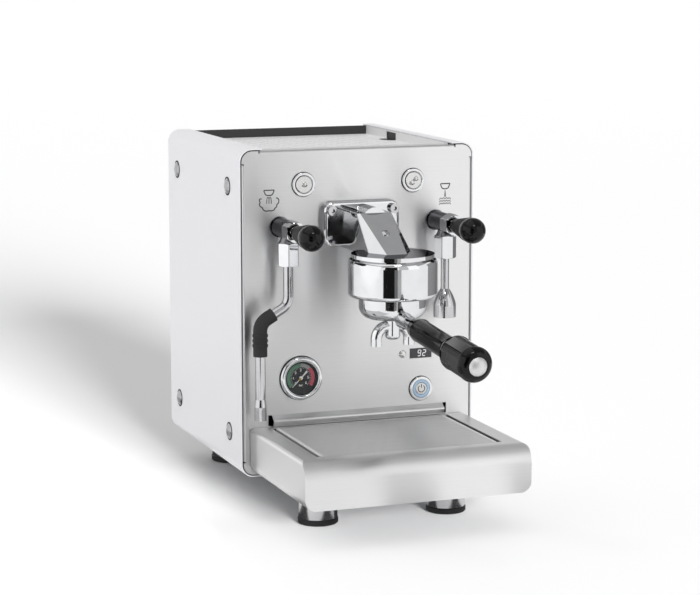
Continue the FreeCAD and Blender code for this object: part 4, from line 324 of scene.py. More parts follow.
# %% Prints
# Even, dull colours that stay readable under the glass.
dial_black = finish("enamel_dial_black", ("#262628", "#2C2C2E"), grain_mm=2, rough=(0.45, 0.6))
dial_white = finish("enamel_white", ("#E4E4E2", "#ECECEA"), grain_mm=2, rough=(0.4, 0.55))
dial_green = finish("enamel_green", ("#557F66", "#5D8A6E"), grain_mm=2, rough=(0.4, 0.55))
dial_red = finish("enamel_red", ("#B8485A", "#C25364"), grain_mm=2, rough=(0.4, 0.55))
dial_grey = finish("enamel_pale_grey", ("#8E9090", "#989A9A"), grain_mm=2, rough=(0.4, 0.55))
dress(dial_black, "gauge_dial")
dress(dial_white, "gauge_needle")
# Ink that is almost black and hardly shines, for the prints. It also makes the painted shadows under the
# beans and the painted shade lines round the bezels.
dark_ink_and_shade = finish("ink_print_and_painted_shade_dark", ("#1C1C1E", "#262628"), grain_mm=1, rough=(0.4, 0.55))

# %% [markdown]
# ## Tools for pieces
#
# A new piece could be modelled in its place. Shaped in a bmesh about the origin instead, facing -Y as the
# front panel does, its sizes stay easy to read, and its place is then put into the mesh itself. Edges that
# turn sharply are marked, so that the rest can shade smoothly.

# %% Piece helpers
SHARP = math.radians(32)
SAME_POINT = 1e-7                  # points nearer than this are one, m


def finish_piece(name, bm, material, body):
    """Close a bmesh into an object that rides on a CAD body."""
    bmesh.ops.remove_doubles(bm, verts=bm.verts, dist=SAME_POINT)
    bmesh.ops.recalc_face_normals(bm, faces=bm.faces)
    for face in bm.faces:
        face.smooth = True
    for edge in bm.edges:
        edge.smooth = len(edge.link_faces) == 2 and edge.calc_face_angle(0) < SHARP
    mesh = bpy.data.meshes.new(name)
    bm.to_mesh(mesh)
    bm.free()
    piece = bpy.data.objects.new(name, mesh)
    mesh.materials.append(material)
    bpy.context.scene.collection.objects.link(piece)
    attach(piece, body)
    print(name, len(mesh.polygons), "faces on", body)


def move_to(bm, place):
    bmesh.ops.translate(bm, verts=bm.verts, vec=place)


# %% Places on the machine
def middle(node):
    low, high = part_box(node)
    return (Vector(low) + Vector(high)) / 2


def on_face(node):
    """Middle of a node's front face."""
    point = middle(node)
    point.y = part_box(node)[0][1]
    return point


def on_panel(node):
    """The point of the front panel's face that a node sits over."""
    point = middle(node)
    point.y = panel_face
    return point


print("gauge at", [round(v, 4) for v in on_panel("gauge_case")])


# %% Bars and ring sectors
def add_bar(bm, x, z, width, height, depth, turn=0.0, lean=0.0):
    """A small bar in the XZ plane, sunk half its depth, turned about Y; sizes in mm."""
    bar = bmesh.ops.create_cube(bm, size=1.0)["verts"]
    bmesh.ops.scale(bm, verts=bar, vec=(width * MM, depth * MM, height * MM))
    for vert in bar:
        vert.co.x += lean * vert.co.z
    bmesh.ops.rotate(bm, verts=bar, cent=(0, 0, 0), matrix=Matrix.Rotation(turn, 3, "Y"))
    bmesh.ops.translate(bm, verts=bar, vec=(x * MM, 0, z * MM))
    return bar


def add_arc(bm, inner, outer, start, end, steps=32):
    """A flat ring sector in the XZ plane; radii in mm, angles in degrees from +X towards +Z."""
    first = math.radians(start)
    ends = [bm.verts.new((r * MM * math.cos(first), 0, r * MM * math.sin(first))) for r in (inner, outer)]
    edge = bm.edges.new(ends)
    bmesh.ops.spin(bm, geom=ends + [edge], cent=(0, 0, 0), axis=(0, -1, 0),
                   angle=math.radians(end - start), steps=steps, use_merge=False)


def thicken(bm, depth):
    """Give a flat print the thickness of its layer, towards -Y."""
    grown = bmesh.ops.extrude_face_region(bm, geom=list(bm.faces))
    verts = [item for item in grown["geom"] if isinstance(item, bmesh.types.BMVert)]
    bmesh.ops.translate(bm, verts=verts, vec=(0, -depth * MM, 0))


# %% [markdown]
# ## Gauge
#
# The dial is printed with a green, a pale and a red band, fine ticks and numbers for the pressure. A
# picture of a dial would blur up close, so the prints are thin layers of mesh. Each band is one edge spun
# through its angle, each tick a bar, and the numbers are Blender text made into a mesh.

# %% Bands of the dial
dial_at = on_face("gauge_dial")
PRINT = 0.06                       # thickness of a print, mm
BAND_R = (11.0, 14.7)              # inner and outer radius, mm
BANDS = (("gauge_band_green", dial_green, 222, 92), ("gauge_band_pale", dial_grey, 91, 46),
         ("gauge_band_red", dial_red, 45, -38))
for name, enamel, start, end in BANDS:
    bm = bmesh.new()
    add_arc(bm, BAND_R[0], BAND_R[1], start, end)
    thicken(bm, PRINT)
    move_to(bm, dial_at)
    finish_piece(name, bm, enamel, "machine")

# %% Ticks of the dial
SCALE_FROM = 225                   # where the scale begins, degrees
NUMBER_STEP = 45                   # from number to number, degrees
LAST_NUMBER = 6
TICKS_PER_NUMBER = 5
TICK_END = 10.5                    # radius at which the ticks end, mm
LONG_TICK = 1.6
SHORT_TICK = 0.8
TICK_W = 0.28
bm = bmesh.new()
for step in range(LAST_NUMBER * TICKS_PER_NUMBER + 1):
    angle = math.radians(SCALE_FROM - step * NUMBER_STEP / TICKS_PER_NUMBER)
    length = SHORT_TICK if step % TICKS_PER_NUMBER else LONG_TICK
    reach = TICK_END - length / 2
    add_bar(bm, reach * math.cos(angle), reach * math.sin(angle), length, TICK_W, PRINT, turn=-angle)
move_to(bm, dial_at)
finish_piece("gauge_ticks", bm, dial_white, "machine")

# %% Numbers of the dial
TEXT_SIZE = 1.4                    # Blender's text size for a digit of height 1
TEXT_GROWN = 0.06                  # the outline is moved out by this, so that thin strokes show, mm
NUMBER_H = 2.7
NUMBER_R = 7.7
UNIT_H = 2.2
UNIT_DOWN = 7.6


def made_mesh(curve):
    """The mesh of a text or curve; its carrier goes away again."""
    carrier = bpy.data.objects.new(curve.name, curve)
    bpy.context.scene.collection.objects.link(carrier)
    bpy.context.view_layer.update()
    mesh = bpy.data.meshes.new_from_object(carrier.evaluated_get(bpy.context.evaluated_depsgraph_get()))
    bpy.data.objects.remove(carrier)
    return mesh


def add_text(bm, words, height, x, z):
    """Text in the XZ plane, with its own middle at x and z, read from the front."""
    curve = bpy.data.curves.new("dial_text", "FONT")
    curve.body = words
    curve.size = height * MM * TEXT_SIZE
    curve.offset = TEXT_GROWN * MM
    curve.align_x = "CENTER"
    curve.align_y = "CENTER"
    mesh = made_mesh(curve)
    mesh.transform(Matrix.Translation((x * MM, 0, z * MM)) @ Matrix.Rotation(math.radians(90), 4, "X"))
    bm.from_mesh(mesh)
    bpy.data.meshes.remove(mesh)


bm = bmesh.new()
for number in range(LAST_NUMBER + 1):
    angle = math.radians(SCALE_FROM - number * NUMBER_STEP)
    add_text(bm, str(number), NUMBER_H, NUMBER_R * math.cos(angle), NUMBER_R * math.sin(angle))
add_text(bm, "bar", UNIT_H, 0, -UNIT_DOWN)
thicken(bm, PRINT)
move_to(bm, dial_at)
finish_piece("gauge_numbers", bm, dial_white, "machine")

# %% [markdown]
# A small brass button covers the needle's arbor. A bevelled cylinder would come near it, but the real one is
# turned on a lathe, and a profile that is spun about the arbor is made in the same way.

# %% Needle hub
HUB = ((0, 0), (1.35, 0), (1.35, 0.12), (1.0, 0.26), (0, 0.3))      # radius and height, mm


def spun(profile, steps=48):
    """Spin (radius, height) points in mm about the axis that points to the front."""
    bm = bmesh.new()
    verts = [bm.verts.new((r * MM, -h * MM, 0)) for r, h in profile]
    edges = [bm.edges.new(pair) for pair in zip(verts, verts[1:])]
    bmesh.ops.spin(bm, geom=verts + edges, cent=(0, 0, 0), axis=(0, 1, 0), angle=math.tau, steps=steps,
                   use_merge=True)
    bmesh.ops.remove_doubles(bm, verts=bm.verts, dist=SAME_POINT)
    return bm


bm = spun(HUB)
move_to(bm, on_face("gauge_needle"))
finish_piece("needle_hub_cap", bm, brass, "gauge_needle")

# %% [markdown]
# ## Display and power button
#
# The display shows a temperature in seven-segment digits, which lean a little. A font has its own shapes, so
# each segment is a bar here. The power button carries the usual sign of a broken ring and a stroke, printed
# on its cap: a spun edge and one more bar.

# %% Display digits
DIGITS = (("9", "abcdfg", -1.4), ("2", "abged", 3.9))     # digit, its lit segments, x of its middle in mm
# Place of a segment in half widths and half heights of a digit, and whether it is upright.
SEGMENT_AT = {"a": (0, 1, False), "d": (0, -1, False), "g": (0, 0, False), "f": (-1, 0.5, True),
              "b": (1, 0.5, True), "e": (-1, -0.5, True), "c": (1, -0.5, True)}
DIGIT_W = 3.0
DIGIT_H = 6.0
STROKE = 0.8
SHORTER = STROKE * 0.4             # a segment is this much shorter than its side of the digit
LEAN = 0.12
BAR_DEPTH = PRINT * 2              # a bar is sunk half its depth
bm = bmesh.new()
for digit, segments, at in DIGITS:
    for segment in segments:
        across, up, upright = SEGMENT_AT[segment]
        z = up * DIGIT_H / 2
        x = at + across * DIGIT_W / 2 + LEAN * z
        if upright:
            add_bar(bm, x, z, STROKE, DIGIT_H / 2 - SHORTER, BAR_DEPTH, lean=LEAN)
        else:
            add_bar(bm, x, z, DIGIT_W - SHORTER, STROKE, BAR_DEPTH)
    print("digit", digit, "from", len(segments), "segments")
move_to(bm, on_face("display_window"))
finish_piece("display_digits", bm, lit_digits, "machine")

# %% Power sign
SIGN_RING = (3.2, 4.0)             # inner and outer radius, mm
SIGN_OPEN = (125, 415)             # the ring runs between these angles and is open at the top, degrees
SIGN_STROKE_L = 3.9
SIGN_STROKE_UP = 2.7               # middle of the stroke above the middle of the cap
bm = bmesh.new()
add_arc(bm, SIGN_RING[0], SIGN_RING[1], SIGN_OPEN[0], SIGN_OPEN[1], steps=40)
thicken(bm, PRINT)
add_bar(bm, 0, SIGN_STROKE_UP, SIGN_RING[1] - SIGN_RING[0], SIGN_STROKE_L, BAR_DEPTH)
move_to(bm, on_face("power_button"))
finish_piece("power_sign", bm, dark_ink_and_shade, "power_button")

# %% [markdown]
# ## Brew buttons
#
# Each cap carries coffee beans in relief: one for the single cup, a pair for the double. A bump in the
# material would vanish from the side, so the beans are mesh. A bean is half an egg with a crease: a sphere
# squeezed into shape, creased along the middle and cut in half. A dark crescent under it is a painted shadow.

# %% Beans on the brew buttons
BEAN = Vector((2.7, 1.1, 2.3))     # half its length, height and width, mm
BEAN_TURN = math.radians(-35)
CREASE_W = 0.22                    # half the crease's width, as a share of half the bean's
CREASE_DEPTH = 0.4                 # as a share of the bean's height
BEAN_SUNK = 0.15                   # the cut lies this far behind the cap's face, mm
BEANS_AT = {"brew_button_left": ((0.3, 0.1),), "brew_button_right": ((-2.1, -2.0), (2.0, 1.9))}


def add_bean(bm, x, z):
    bean = bmesh.ops.create_uvsphere(bm, u_segments=20, v_segments=14, radius=1.0)["verts"]
    for vert in bean:
        crease = max(0.0, 1 - abs(vert.co.z) / CREASE_W)
        vert.co.y *= 1 - CREASE_DEPTH * crease
    bmesh.ops.scale(bm, verts=bean, vec=BEAN * MM)
    bmesh.ops.rotate(bm, verts=bean, cent=(0, 0, 0), matrix=Matrix.Rotation(BEAN_TURN, 3, "Y"))
    bmesh.ops.translate(bm, verts=bean, vec=(x * MM, 0, z * MM))


for button, places in BEANS_AT.items():
    bm = bmesh.new()
    for x, z in places:
        add_bean(bm, x, z)
    bmesh.ops.bisect_plane(bm, geom=bm.verts[:] + bm.edges[:] + bm.faces[:], plane_co=(0, BEAN_SUNK * MM, 0),
                           plane_no=(0, 1, 0), clear_outer=True)
    move_to(bm, on_face(button))
    finish_piece(button + "_beans", bm, satin_caps, button)

# %% Painted shadows under the beans
BEAN_SHADOW_R = (BEAN.x - 0.3, BEAN.x + 0.5)    # it begins under the bean and shows beside it, mm
BEAN_SHADOW_SPAN = (195, 345)                   # it runs along the lower side, degrees


def add_groove(bm, x, z):
    """A dark ring sector under a bean, squeezed as the bean is: a painted shadow."""
    known = set(bm.verts)
    add_arc(bm, BEAN_SHADOW_R[0], BEAN_SHADOW_R[1], BEAN_SHADOW_SPAN[0], BEAN_SHADOW_SPAN[1], steps=14)
    shade_verts = [vert for vert in bm.verts if vert not in known]
    bmesh.ops.scale(bm, verts=shade_verts, vec=(1, 1, BEAN.z / BEAN.x))
    bmesh.ops.translate(bm, verts=shade_verts, vec=(x * MM, 0, z * MM))


# Dark crescents under the beans: painted shadow, where the relief would shade the cap.
for button, places in BEANS_AT.items():
    bm = bmesh.new()
    for x, z in places:
        add_groove(bm, x, z)
    thicken(bm, PRINT)
    move_to(bm, on_face(button))
    finish_piece(button + "_painted_shadows", bm, dark_ink_and_shade, button)

# %% [markdown]
# ## Painted shade round bezels and screws
#
# Every bezel is pulled against the panel by its nut, and a thin black ring round it is painted shade for the
# fine dark line where it meets the panel. The bezel of the gauge is rolled over its glass, so its front is
# round. The casing screws sit on black rings that are painted shade for the dark outline round their domes.
# Rings could be cut out of cylinders, but a profile that is spun gives the same rings with clean faces.

# %% Painted shade lines round the bezels, and the rolled bezel
SHADE_LINE_W = 1.2
SHADE_LINE_H = 0.5
# Name, the node it lies under, outer radius in mm.
BEZEL_SHADE_LINES = (("brew_shade_line_left", "brew_button_left", 12.5), ("brew_shade_line_right", "brew_button_right", 12.5),
           ("power_shade_line", "power_bezel", 13.0), ("gauge_shade_line", "gauge_case", 22.7))
BEZEL_ROLL = ((17.7, 0.0), (17.9, 0.5), (18.5, 1.0), (19.3, 1.25), (20.1, 1.2), (20.9, 0.85), (21.5, 0.3),
              (21.6, 0.0), (17.7, 0.0))    # radius and height, mm


def ring(inner, outer, height):
    return spun(((inner, 0), (outer, 0), (outer, height), (inner, height), (inner, 0)), steps=64)


# A flat black ring round each bezel: painted shade for the fine dark line where the bezel meets the panel.
for name, node, outer in BEZEL_SHADE_LINES:
    bm = ring(outer - SHADE_LINE_W, outer, SHADE_LINE_H)
    move_to(bm, on_panel(node))
    finish_piece(name, bm, dark_ink_and_shade, "machine")
bm = spun(BEZEL_ROLL, steps=96)
move_to(bm, on_face("gauge_case"))
finish_piece("gauge_bezel_roll", bm, chrome, "machine")


# %% Rings of painted shade under the casing screws
def loose_parts(node):
    """Boxes of the parts of a node's mesh that share no points, sorted by their low corners.

    The mesh isn't merged first, so one solid can come as several parts with the same middle."""
    bm = bmesh.new()
    bm.from_mesh(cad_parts[node].data)
    waiting = set(bm.verts)
    boxes = []
    while waiting:
        reached = [waiting.pop()]
        part = []
        while reached:
            vert = reached.pop()
            part.append(vert.co.copy())
            for edge in vert.link_edges:
                other = edge.other_vert(vert)
                if other in waiting:
                    waiting.remove(other)
                    reached.append(other)
        boxes.append([Vector([pick(v[axis] for v in part) for axis in range(3)]) for pick in (min, max)])
    bm.free()
    return sorted(boxes, key=lambda box: tuple(box[0]))


SHADE_RING_HEAD = 12                   # heads wider than this get a ring of painted shade, mm
SHADE_RING_UNDER = 0.6                 # it reaches this far under the head
SHADE_RING_SHOWS = 0.8                 # and this far beyond it
SHADE_RING_H = 0.4
side_faces = {-1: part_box("side_panel_left")[0][0], 1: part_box("side_panel_right")[1][0]}
# A head comes as two parts, and each part brings its ring of painted shade, so two rings lie in one place.
heads = [(low, high) for low, high in loose_parts("casing_screws") if high.z - low.z > SHADE_RING_HEAD * MM]
for number, (low, high) in enumerate(heads, start=1):
    place = (low + high) / 2
    radius = (high.z - low.z) / 2 / MM
    side = -1 if place.x < 0 else 1
    place.x = side_faces[side]
    # A black ring under each head: painted shade for the dark outline round the screw's dome.
    bm = ring(radius - SHADE_RING_UNDER, radius + SHADE_RING_SHOWS, SHADE_RING_H)
    outwards = Matrix.Rotation(side * math.radians(90), 3, "Z")
    bmesh.ops.rotate(bm, verts=bm.verts, cent=(0, 0, 0), matrix=outwards)
    move_to(bm, place)
    finish_piece("casing_screw_shade_ring_%d" % number, bm, nylon_and_shade, "machine")

# %% [markdown]
# ## Sleeves of the knobs
#
# Behind its glossy ball each knob narrows to the lever, and that part is moulded matt with ridges, so that
# fingers find a hold. Rings could be stacked on the CAD cone. One wavy profile, spun about the knob's axis
# and a hair larger than the cone, leaves no gaps between them.

# %% Knob sleeves
# Dark grey that swallows light beside the glossy black.
matt_phenolic = finish("phenolic_moulded_matt", ("#171718", "#1F1F20"), grain_mm=0.8, rough=(0.5, 0.6),
                       bump_mm=0.01)
CONE_FROM = 6.8                    # the cone begins this far in front of the knob's back end, mm
CONE_L = 30.5
CONE_R = (7.6, 12.6)               # its radius at both ends
SLEEVE_FROM = 0.2                  # the sleeve begins this far along the cone
SLEEVE_END = 0.5                   # and ends this far after its last ridge
SLEEVE_SUNK = -0.3                 # both ends dip under the cone
RIDGES = 7
RIDGE_STEP = 3.4
RIDGE = ((0.1, 0.12), (0.35, 0.6), (0.65, 0.6), (0.9, 0.12))    # share of a step, height over the cone in mm


def sleeve_point(height, lift):
    """Radius and height of a point that stands over the cone."""
    return CONE_R[0] + (CONE_R[1] - CONE_R[0]) * height / CONE_L + lift, height


profile = [sleeve_point(SLEEVE_FROM, SLEEVE_SUNK)]
for step in range(RIDGES):
    for part, lift in RIDGE:
        profile.append(sleeve_point(SLEEVE_FROM + (step + part) * RIDGE_STEP, lift))
profile.append(sleeve_point(profile[-1][1] + SLEEVE_END, SLEEVE_SUNK))
profile.append(profile[0])
for knob, body in (("steam_knob", "steam_lever"), ("water_knob", "water_lever")):
    bm = spun(profile, steps=64)
    place = middle(knob)
    place.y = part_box(knob)[1][1] - CONE_FROM * MM
    move_to(bm, place)
    finish_piece(knob + "_sleeve", bm, matt_phenolic, body)

# %% [markdown]
# ## Painted highlights on the ends of the slats
#
# The ends of the slats catch the light and show bright. That could be painted by a mask in the material. Here
# a short bar of paler sheet lies on each end of a slat, whose place is read from the CAD mesh: a painted
# highlight that stands in the mesh itself.

# %% Painted highlights on the slat ends
SLAT_HIGHLIGHT_L = 4.0                        # length of a painted highlight on a slat's end, mm
SLAT_HIGHLIGHT_H = 0.5
SLAT_HIGHLIGHT_W = 2.0
NEAR = 1e-5                        # corners this near to the grid's left end or top count, m


def slat_middles(node):
    """Y of each slat, from the corners at the grid's left end."""
    low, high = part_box(node)
    edges = sorted({round(v.co.y, 5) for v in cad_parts[node].data.vertices
                    if v.co.x < low[0] + NEAR and v.co.z > high[2] - NEAR})
    return [(first + second) / 2 for first, second in zip(edges[::2], edges[1::2])]


low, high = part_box("drip_grid")
bm = bmesh.new()
for y in slat_middles("drip_grid"):
    for x in (low[0] / MM + SLAT_HIGHLIGHT_L / 2, high[0] / MM - SLAT_HIGHLIGHT_L / 2):
        # A bar of paler sheet on each end of a slat: a painted highlight where the end catches the light.
        slat_highlight = add_bar(bm, x, high[2] / MM, SLAT_HIGHLIGHT_L, SLAT_HIGHLIGHT_H, SLAT_HIGHLIGHT_W)
        bmesh.ops.translate(bm, verts=slat_highlight, vec=(0, y, 0))
finish_piece("drip_grid_slat_end_highlights", bm, bright_sheet_and_highlight, "drip_grid")

# %% [markdown]
# ## Printed signs
#
# Two line drawings tell the taps apart: a bowl over a cloud of steam, and a bowl over waves of water. A
# drawing could be a picture laid on the panel. Here a line is a curve with a round section, made into a mesh
# and pressed flat to the thickness of ink, so it stays sharp from near.

# %% Lines drawn in ink
WIDE_LINE = 0.62                   # half the width of a drawn line, mm
FINE_LINE = 0.42
PRESSED = 0.1                      # share of a line's thickness that is left


def draw(name, lines, half_width, at):
    """Lines of (x, z) points in mm, drawn in dark ink on the front panel."""
    curve = bpy.data.curves.new(name, "CURVE")
    curve.dimensions = "3D"
    curve.bevel_depth = half_width * MM
    curve.bevel_resolution = 1
    curve.use_fill_caps = True
    for points in lines:
        spline = curve.splines.new("NURBS")
        spline.points.add(len(points) - 1)
        for knot, (x, z) in zip(spline.points, points):
            knot.co = (x * MM, 0, z * MM, 1)
        spline.order_u = 3
        spline.use_endpoint_u = True
        spline.resolution_u = 4
    mesh = made_mesh(curve)
    bm = bmesh.new()
    bm.from_mesh(mesh)
    bpy.data.meshes.remove(mesh)
    bmesh.ops.scale(bm, verts=bm.verts, vec=(1, PRESSED, 1))
    move_to(bm, at)
    finish_piece(name, bm, dark_ink_and_shade, "machine")


# %% Sign for steam
STEAM_SIGN_FROM_KNOB = Vector((-11.0, 0, 26.6)) * MM
RIM = (5.4, 10.2)                  # half the width of the bowl, and the height of its rim, mm


def corner(x, z):
    """A doubled point, which makes the line turn sharply."""
    return [(x, z), (x, z)]


BOWL = [(-RIM[0], RIM[1])] + corner(-RIM[0], RIM[1])
BOWL += [(-4.2, 6.6), (-2.4, 4.9), (2.4, 4.9), (4.2, 6.6)]
BOWL += corner(*RIM) + corner(-RIM[0], RIM[1])
CLOUD = [(-7.6, 1.9), (-9.6, 2.2), (-10.2, 0.2), (-8.9, -1.6), (-10.2, -3.2), (-9.4, -5.6), (-6.9, -6.6),
         (-6.4, -8.9), (-3.0, -10.8), (0.0, -9.9), (2.4, -10.6), (5.4, -9.7), (6.0, -7.8), (8.3, -6.4),
         (7.9, -4.3), (10.2, -2.8), (10.3, 0.4), (9.0, 2.4), (7.4, 2.2)]
JETS = [[(-2.4, -3.2), (-2.3, 1.2), (-1.5, 3.6), (-0.2, 2.6), (0.0, 0.4), (0.0, -3.2)],
        [(0.0, -3.2), (0.0, 0.4), (0.2, 2.6), (1.5, 3.6), (2.3, 1.2), (2.4, -3.2)]]
steam_at = on_panel("steam_knob") + STEAM_SIGN_FROM_KNOB
draw("sign_steam", [BOWL, CLOUD], WIDE_LINE, steam_at)
draw("sign_steam_jets", JETS, FINE_LINE, steam_at)

# %% Sign for water
WATER_SIGN_FROM_KNOB = Vector((10.5, 0, 26.2)) * MM
NARROWER = 0.95                    # this bowl is a little narrower than the one for steam
WAVE_LEVELS = (-4.7, -7.3, -9.9)
WAVE_FROM = -6.3
WAVE_STEP = 1.575                  # from crest to trough
WAVE_POINTS = 9
WAVE_H = 1.3
WAVES = [[(WAVE_FROM + point * WAVE_STEP, level + (WAVE_H if point % 2 else -WAVE_H))
          for point in range(WAVE_POINTS)] for level in WAVE_LEVELS]
STREAM = [[(0, 3.4), (side * 0.2, 0.2), (side * 0.5, -3.2)] for side in (-1, 1)]
water_at = on_panel("water_knob") + WATER_SIGN_FROM_KNOB
draw("sign_water", [[(x * NARROWER, z) for x, z in BOWL]], WIDE_LINE, water_at)
draw("sign_water_waves", WAVES + STREAM, FINE_LINE, water_at)

# %% [markdown]
# ## Studio
#
# The machine stands on white paper. Chrome only looks like chrome when it has something to show. A picture of
# a studio could surround it, but cards round the machine can be moved one by one: bright ones for the
# whites and dark ones between them. They show in reflections alone, and so the floor keeps its light.

# %% Floor
FLOOR_W = 40                       # so wide that no view finds its edge, m
FLOOR_DROP = 0.0005                # the paper lies this far below the feet, m
FLAT = (0, 0, 0)
UPRIGHT = (math.radians(90), 0, 0)


def plain(name, hex_colour, **sockets):
    """One dull, even colour."""
    return finish(name, (hex_colour, hex_colour), grain_mm=50, rough=(0.9, 0.9), **sockets)


def stage_sheet(name, width, height, place, turn, material):
    """A flat sheet of the studio, which isn't part of the machine; sizes in m."""
    bm = bmesh.new()
    bmesh.ops.create_grid(bm, x_segments=1, y_segments=1, size=0.5)
    bmesh.ops.scale(bm, verts=bm.verts, vec=(width, height, 1))
    mesh = bpy.data.meshes.new(name)
    bm.to_mesh(mesh)
    bm.free()
    sheet = bpy.data.objects.new(name, mesh)
    sheet.location = place
    sheet.rotation_euler = turn
    mesh.materials.append(material)
    bpy.context.scene.collection.objects.link(sheet)
    return sheet


# Matt paper, a hair below pure white.
floor = stage_sheet("floor", FLOOR_W, FLOOR_W, (0, 0, -FLOOR_DROP), FLAT, plain("paper_white", "#F9F9F9"))
print("floor", FLOOR_W, "m wide")

# %% Standing cards
WHITE = (1, 1, 1, 1)
towards_camera = Vector((CAMERA_AT.x, CAMERA_AT.y, 0)).normalized()
cards = []


def add_card(name, width, height, place, turn, brightness):
    """A sheet that glows and shows in reflections alone."""
    glow = plain(name, "#000000", Emission_Color=WHITE, Emission_Strength=brightness, Specular_IOR_Level=0)
    sheet = stage_sheet(name, width, height, place, turn, glow)
    sheet.visible_camera = False
    sheet.visible_diffuse = False
    sheet.visible_shadow = False
    cards.append(sheet)


def heading(degrees):
    """The level direction so many degrees to the right of the camera's."""
    return Matrix.Rotation(math.radians(degrees), 3, "Z") @ towards_camera


# Name, degrees to the right of the camera's direction, distance, bottom, top and width in m, brightness.
STANDING_CARDS = (
    ("band_card", -8.6, 1.30, 0.0, 0.26, 0.64, 0.01),
    ("band_shade", 8.5, 1.32, 0.0, 0.26, 0.17, 0.16),
    ("band_edge", 16.5, 1.34, 0.0, 0.26, 0.21, 0.45),
    ("left_box", -62.0, 1.60, 0.0, 1.4, 2.0, 1.2),
    ("far_dark", -4.0, 2.70, 0.3, 1.6, 1.5, 0.01),
    ("right_grey", 123.0, 1.20, 0.0, 0.8, 1.22, 0.32),
    ("front_grey", 27.2, 2.50, 0.1, 2.2, 1.05, 0.6),
    ("front_box", 54.0, 2.50, 0.1, 2.2, 1.35, 1.2),
)
for name, degrees, distance, bottom, top, width, brightness in STANDING_CARDS:
    place = heading(degrees) * distance + Vector((0, 0, (bottom + top) / 2))
    turn = (math.radians(90), 0, math.radians(degrees - CAMERA_YAW))
    add_card(name, width, top - bottom, place, turn, brightness)
add_card("back_strip", width=0.6, height=0.16, place=(-0.06, 2.0, 1.53), turn=UPRIGHT, brightness=2.0)
print(len(cards), "standing cards")

# %% Lying cards
BAND_AT = towards_camera * 1.03 + Vector((-0.07, 0, 0.0002))
# Name, width and depth in m, place, degrees about Z, brightness.
LYING_CARDS = (
    ("top_box", 1.85, 2.2, (-0.77, -0.1, 1.9), 0, 1.0),
    ("floor_band", 0.34, 0.55, BAND_AT, -CAMERA_YAW, 0.02),
    ("floor_left", 0.5, 1.2, (-0.42, 0.25, 0.0001), 0, 0.62),
    ("sky_card", 7.0, 7.0, (0, 0, 2.4), 0, 0.38),
)
for name, width, depth, place, degrees, brightness in LYING_CARDS:
    add_card(name, width, depth, place, (0, 0, math.radians(degrees)), brightness)
print(len(LYING_CARDS), "lying cards")

# %% [markdown]
# Two dark strips beside each foot give the turned steel its dark sides. A small bright card high in front
# draws the sparks on the chrome: a lamp would do that too, but it would also light the paint.

# %% Strips at the feet and the spark
STRIP_SIDES = (-75, 50)            # degrees to the right of the camera's direction
STRIP_OUT = 0.13                   # from the foot's middle to the strip's, m
STRIP_LIFT = 0.0003
for low, high in loose_parts("foot_bodies"):
    for degrees in STRIP_SIDES:
        place = (low + high) / 2 + heading(degrees) * STRIP_OUT
        place.z = STRIP_LIFT
        turn = (0, 0, math.radians(degrees - CAMERA_YAW))
        add_card("foot_strip", width=0.05, height=0.2, place=place, turn=turn, brightness=0.04)
SPARK_AT = Vector((-0.10, -1.25, 1.9))
SPARK_AIM = Vector((0, 0, 0.2))
spark_turn = (SPARK_AT - SPARK_AIM).to_track_quat("Z", "Y").to_euler()
add_card("spark", width=0.5, height=0.36, place=SPARK_AT, turn=spark_turn, brightness=10.0)
print(len(cards), "cards in all")

# %% [markdown]
# The world lights the machine evenly, and the camera and the metals see it as plain white. A weak sun models
# the front, and a soft light on the left fills the white side. Stronger lamps would turn the paper white, but
# they would bleach the machine as well. So the paper has a low sun of its own, which lights nothing else: it
# draws the long shadow, while the machine keeps its plain level of light.

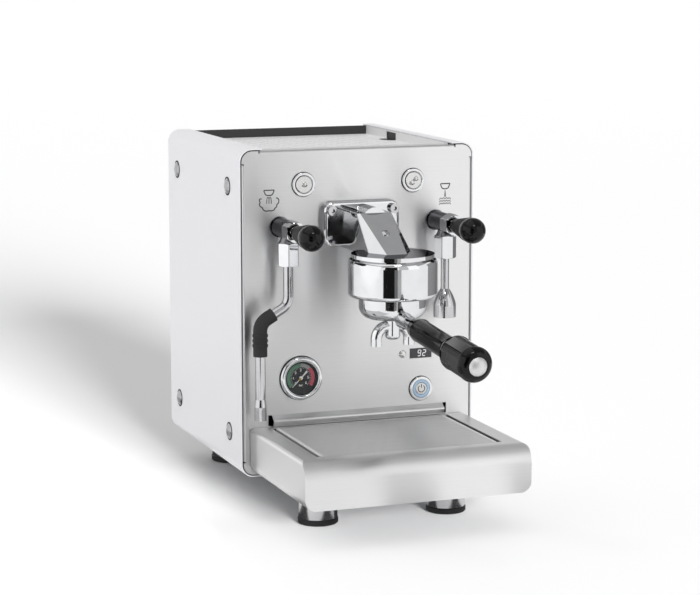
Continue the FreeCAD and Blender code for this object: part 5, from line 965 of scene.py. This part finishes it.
# %% World
WORLD_LIGHT = 0.55                 # what lights the machine
WORLD_SEEN = 1.0                   # what the camera, the metals and the glass see: white
world = bpy.data.worlds.new("studio")
bpy.context.scene.world = world
world.use_nodes = True
sky = world.node_tree
glow = sky.nodes["Background"]
glow.inputs["Color"].default_value = WHITE
glow.inputs["Strength"].default_value = WORLD_LIGHT
seen = add(sky, "ShaderNodeBackground", {"Color": WHITE, "Strength": WORLD_SEEN})
ray = add(sky, "ShaderNodeLightPath")
sharp_ray = add(sky, "ShaderNodeMath", {0: ray.outputs["Is Camera Ray"], 1: ray.outputs["Is Glossy Ray"]},
                operation="MAXIMUM")
clear_ray = add(sky, "ShaderNodeMath", {0: sharp_ray.outputs["Value"], 1: ray.outputs["Is Transmission Ray"]},
                operation="MAXIMUM")
choice = add(sky, "ShaderNodeMixShader", {0: clear_ray.outputs["Value"], 1: glow.outputs["Background"],
                                          2: seen.outputs["Background"]})
sky.links.new(choice.outputs["Shader"], sky.nodes["World Output"].inputs["Surface"])
print("world at", WORLD_LIGHT, "and seen at", WORLD_SEEN)

# %% Suns
SUN_SPREAD = math.radians(16)      # a wide sun, whose shadow has a soft edge


def sunlight(name, energy, along, receivers):
    """A soft sun for some of the things; it makes no highlight of its own in the metals."""
    lamp = bpy.data.objects.new(name, bpy.data.lights.new(name, "SUN"))
    lamp.data.energy = energy
    lamp.data.angle = SUN_SPREAD
    lamp.rotation_euler = Vector(along).to_track_quat("-Z", "Y").to_euler()
    lamp.visible_glossy = False
    lamp.light_linking.receiver_collection = receivers
    bpy.context.scene.collection.objects.link(lamp)
    print(name, "of", energy)


paper_only = bpy.data.collections.new("paper_only")
paper_only.objects.link(floor)
all_but_paper = bpy.data.collections.new("all_but_paper")
all_but_paper.objects.link(floor)
all_but_paper.collection_objects[0].light_linking.link_state = "EXCLUDE"
sunlight("paper_sun", energy=6.9, along=(-0.02, 1.0, -0.24), receivers=paper_only)
sunlight("front_sun", energy=1.2, along=(0.15, 0.7, -0.75), receivers=all_but_paper)

# %% Soft light on the left
FILL_AT = (-1.5, -0.1, 0.65)
FILL_SIZE = (1.9, 1.2)
FILL_WATTS = 1.5
fill = bpy.data.lights.new("left_fill", "AREA")
fill.shape = "RECTANGLE"
fill.size = FILL_SIZE[0]
fill.size_y = FILL_SIZE[1]
fill.energy = FILL_WATTS
lamp = bpy.data.objects.new("left_fill", fill)
lamp.location = FILL_AT
lamp.rotation_euler = (0, math.radians(-90), 0)
lamp.visible_glossy = False
bpy.context.scene.collection.objects.link(lamp)
print("left fill of", FILL_WATTS, "W")
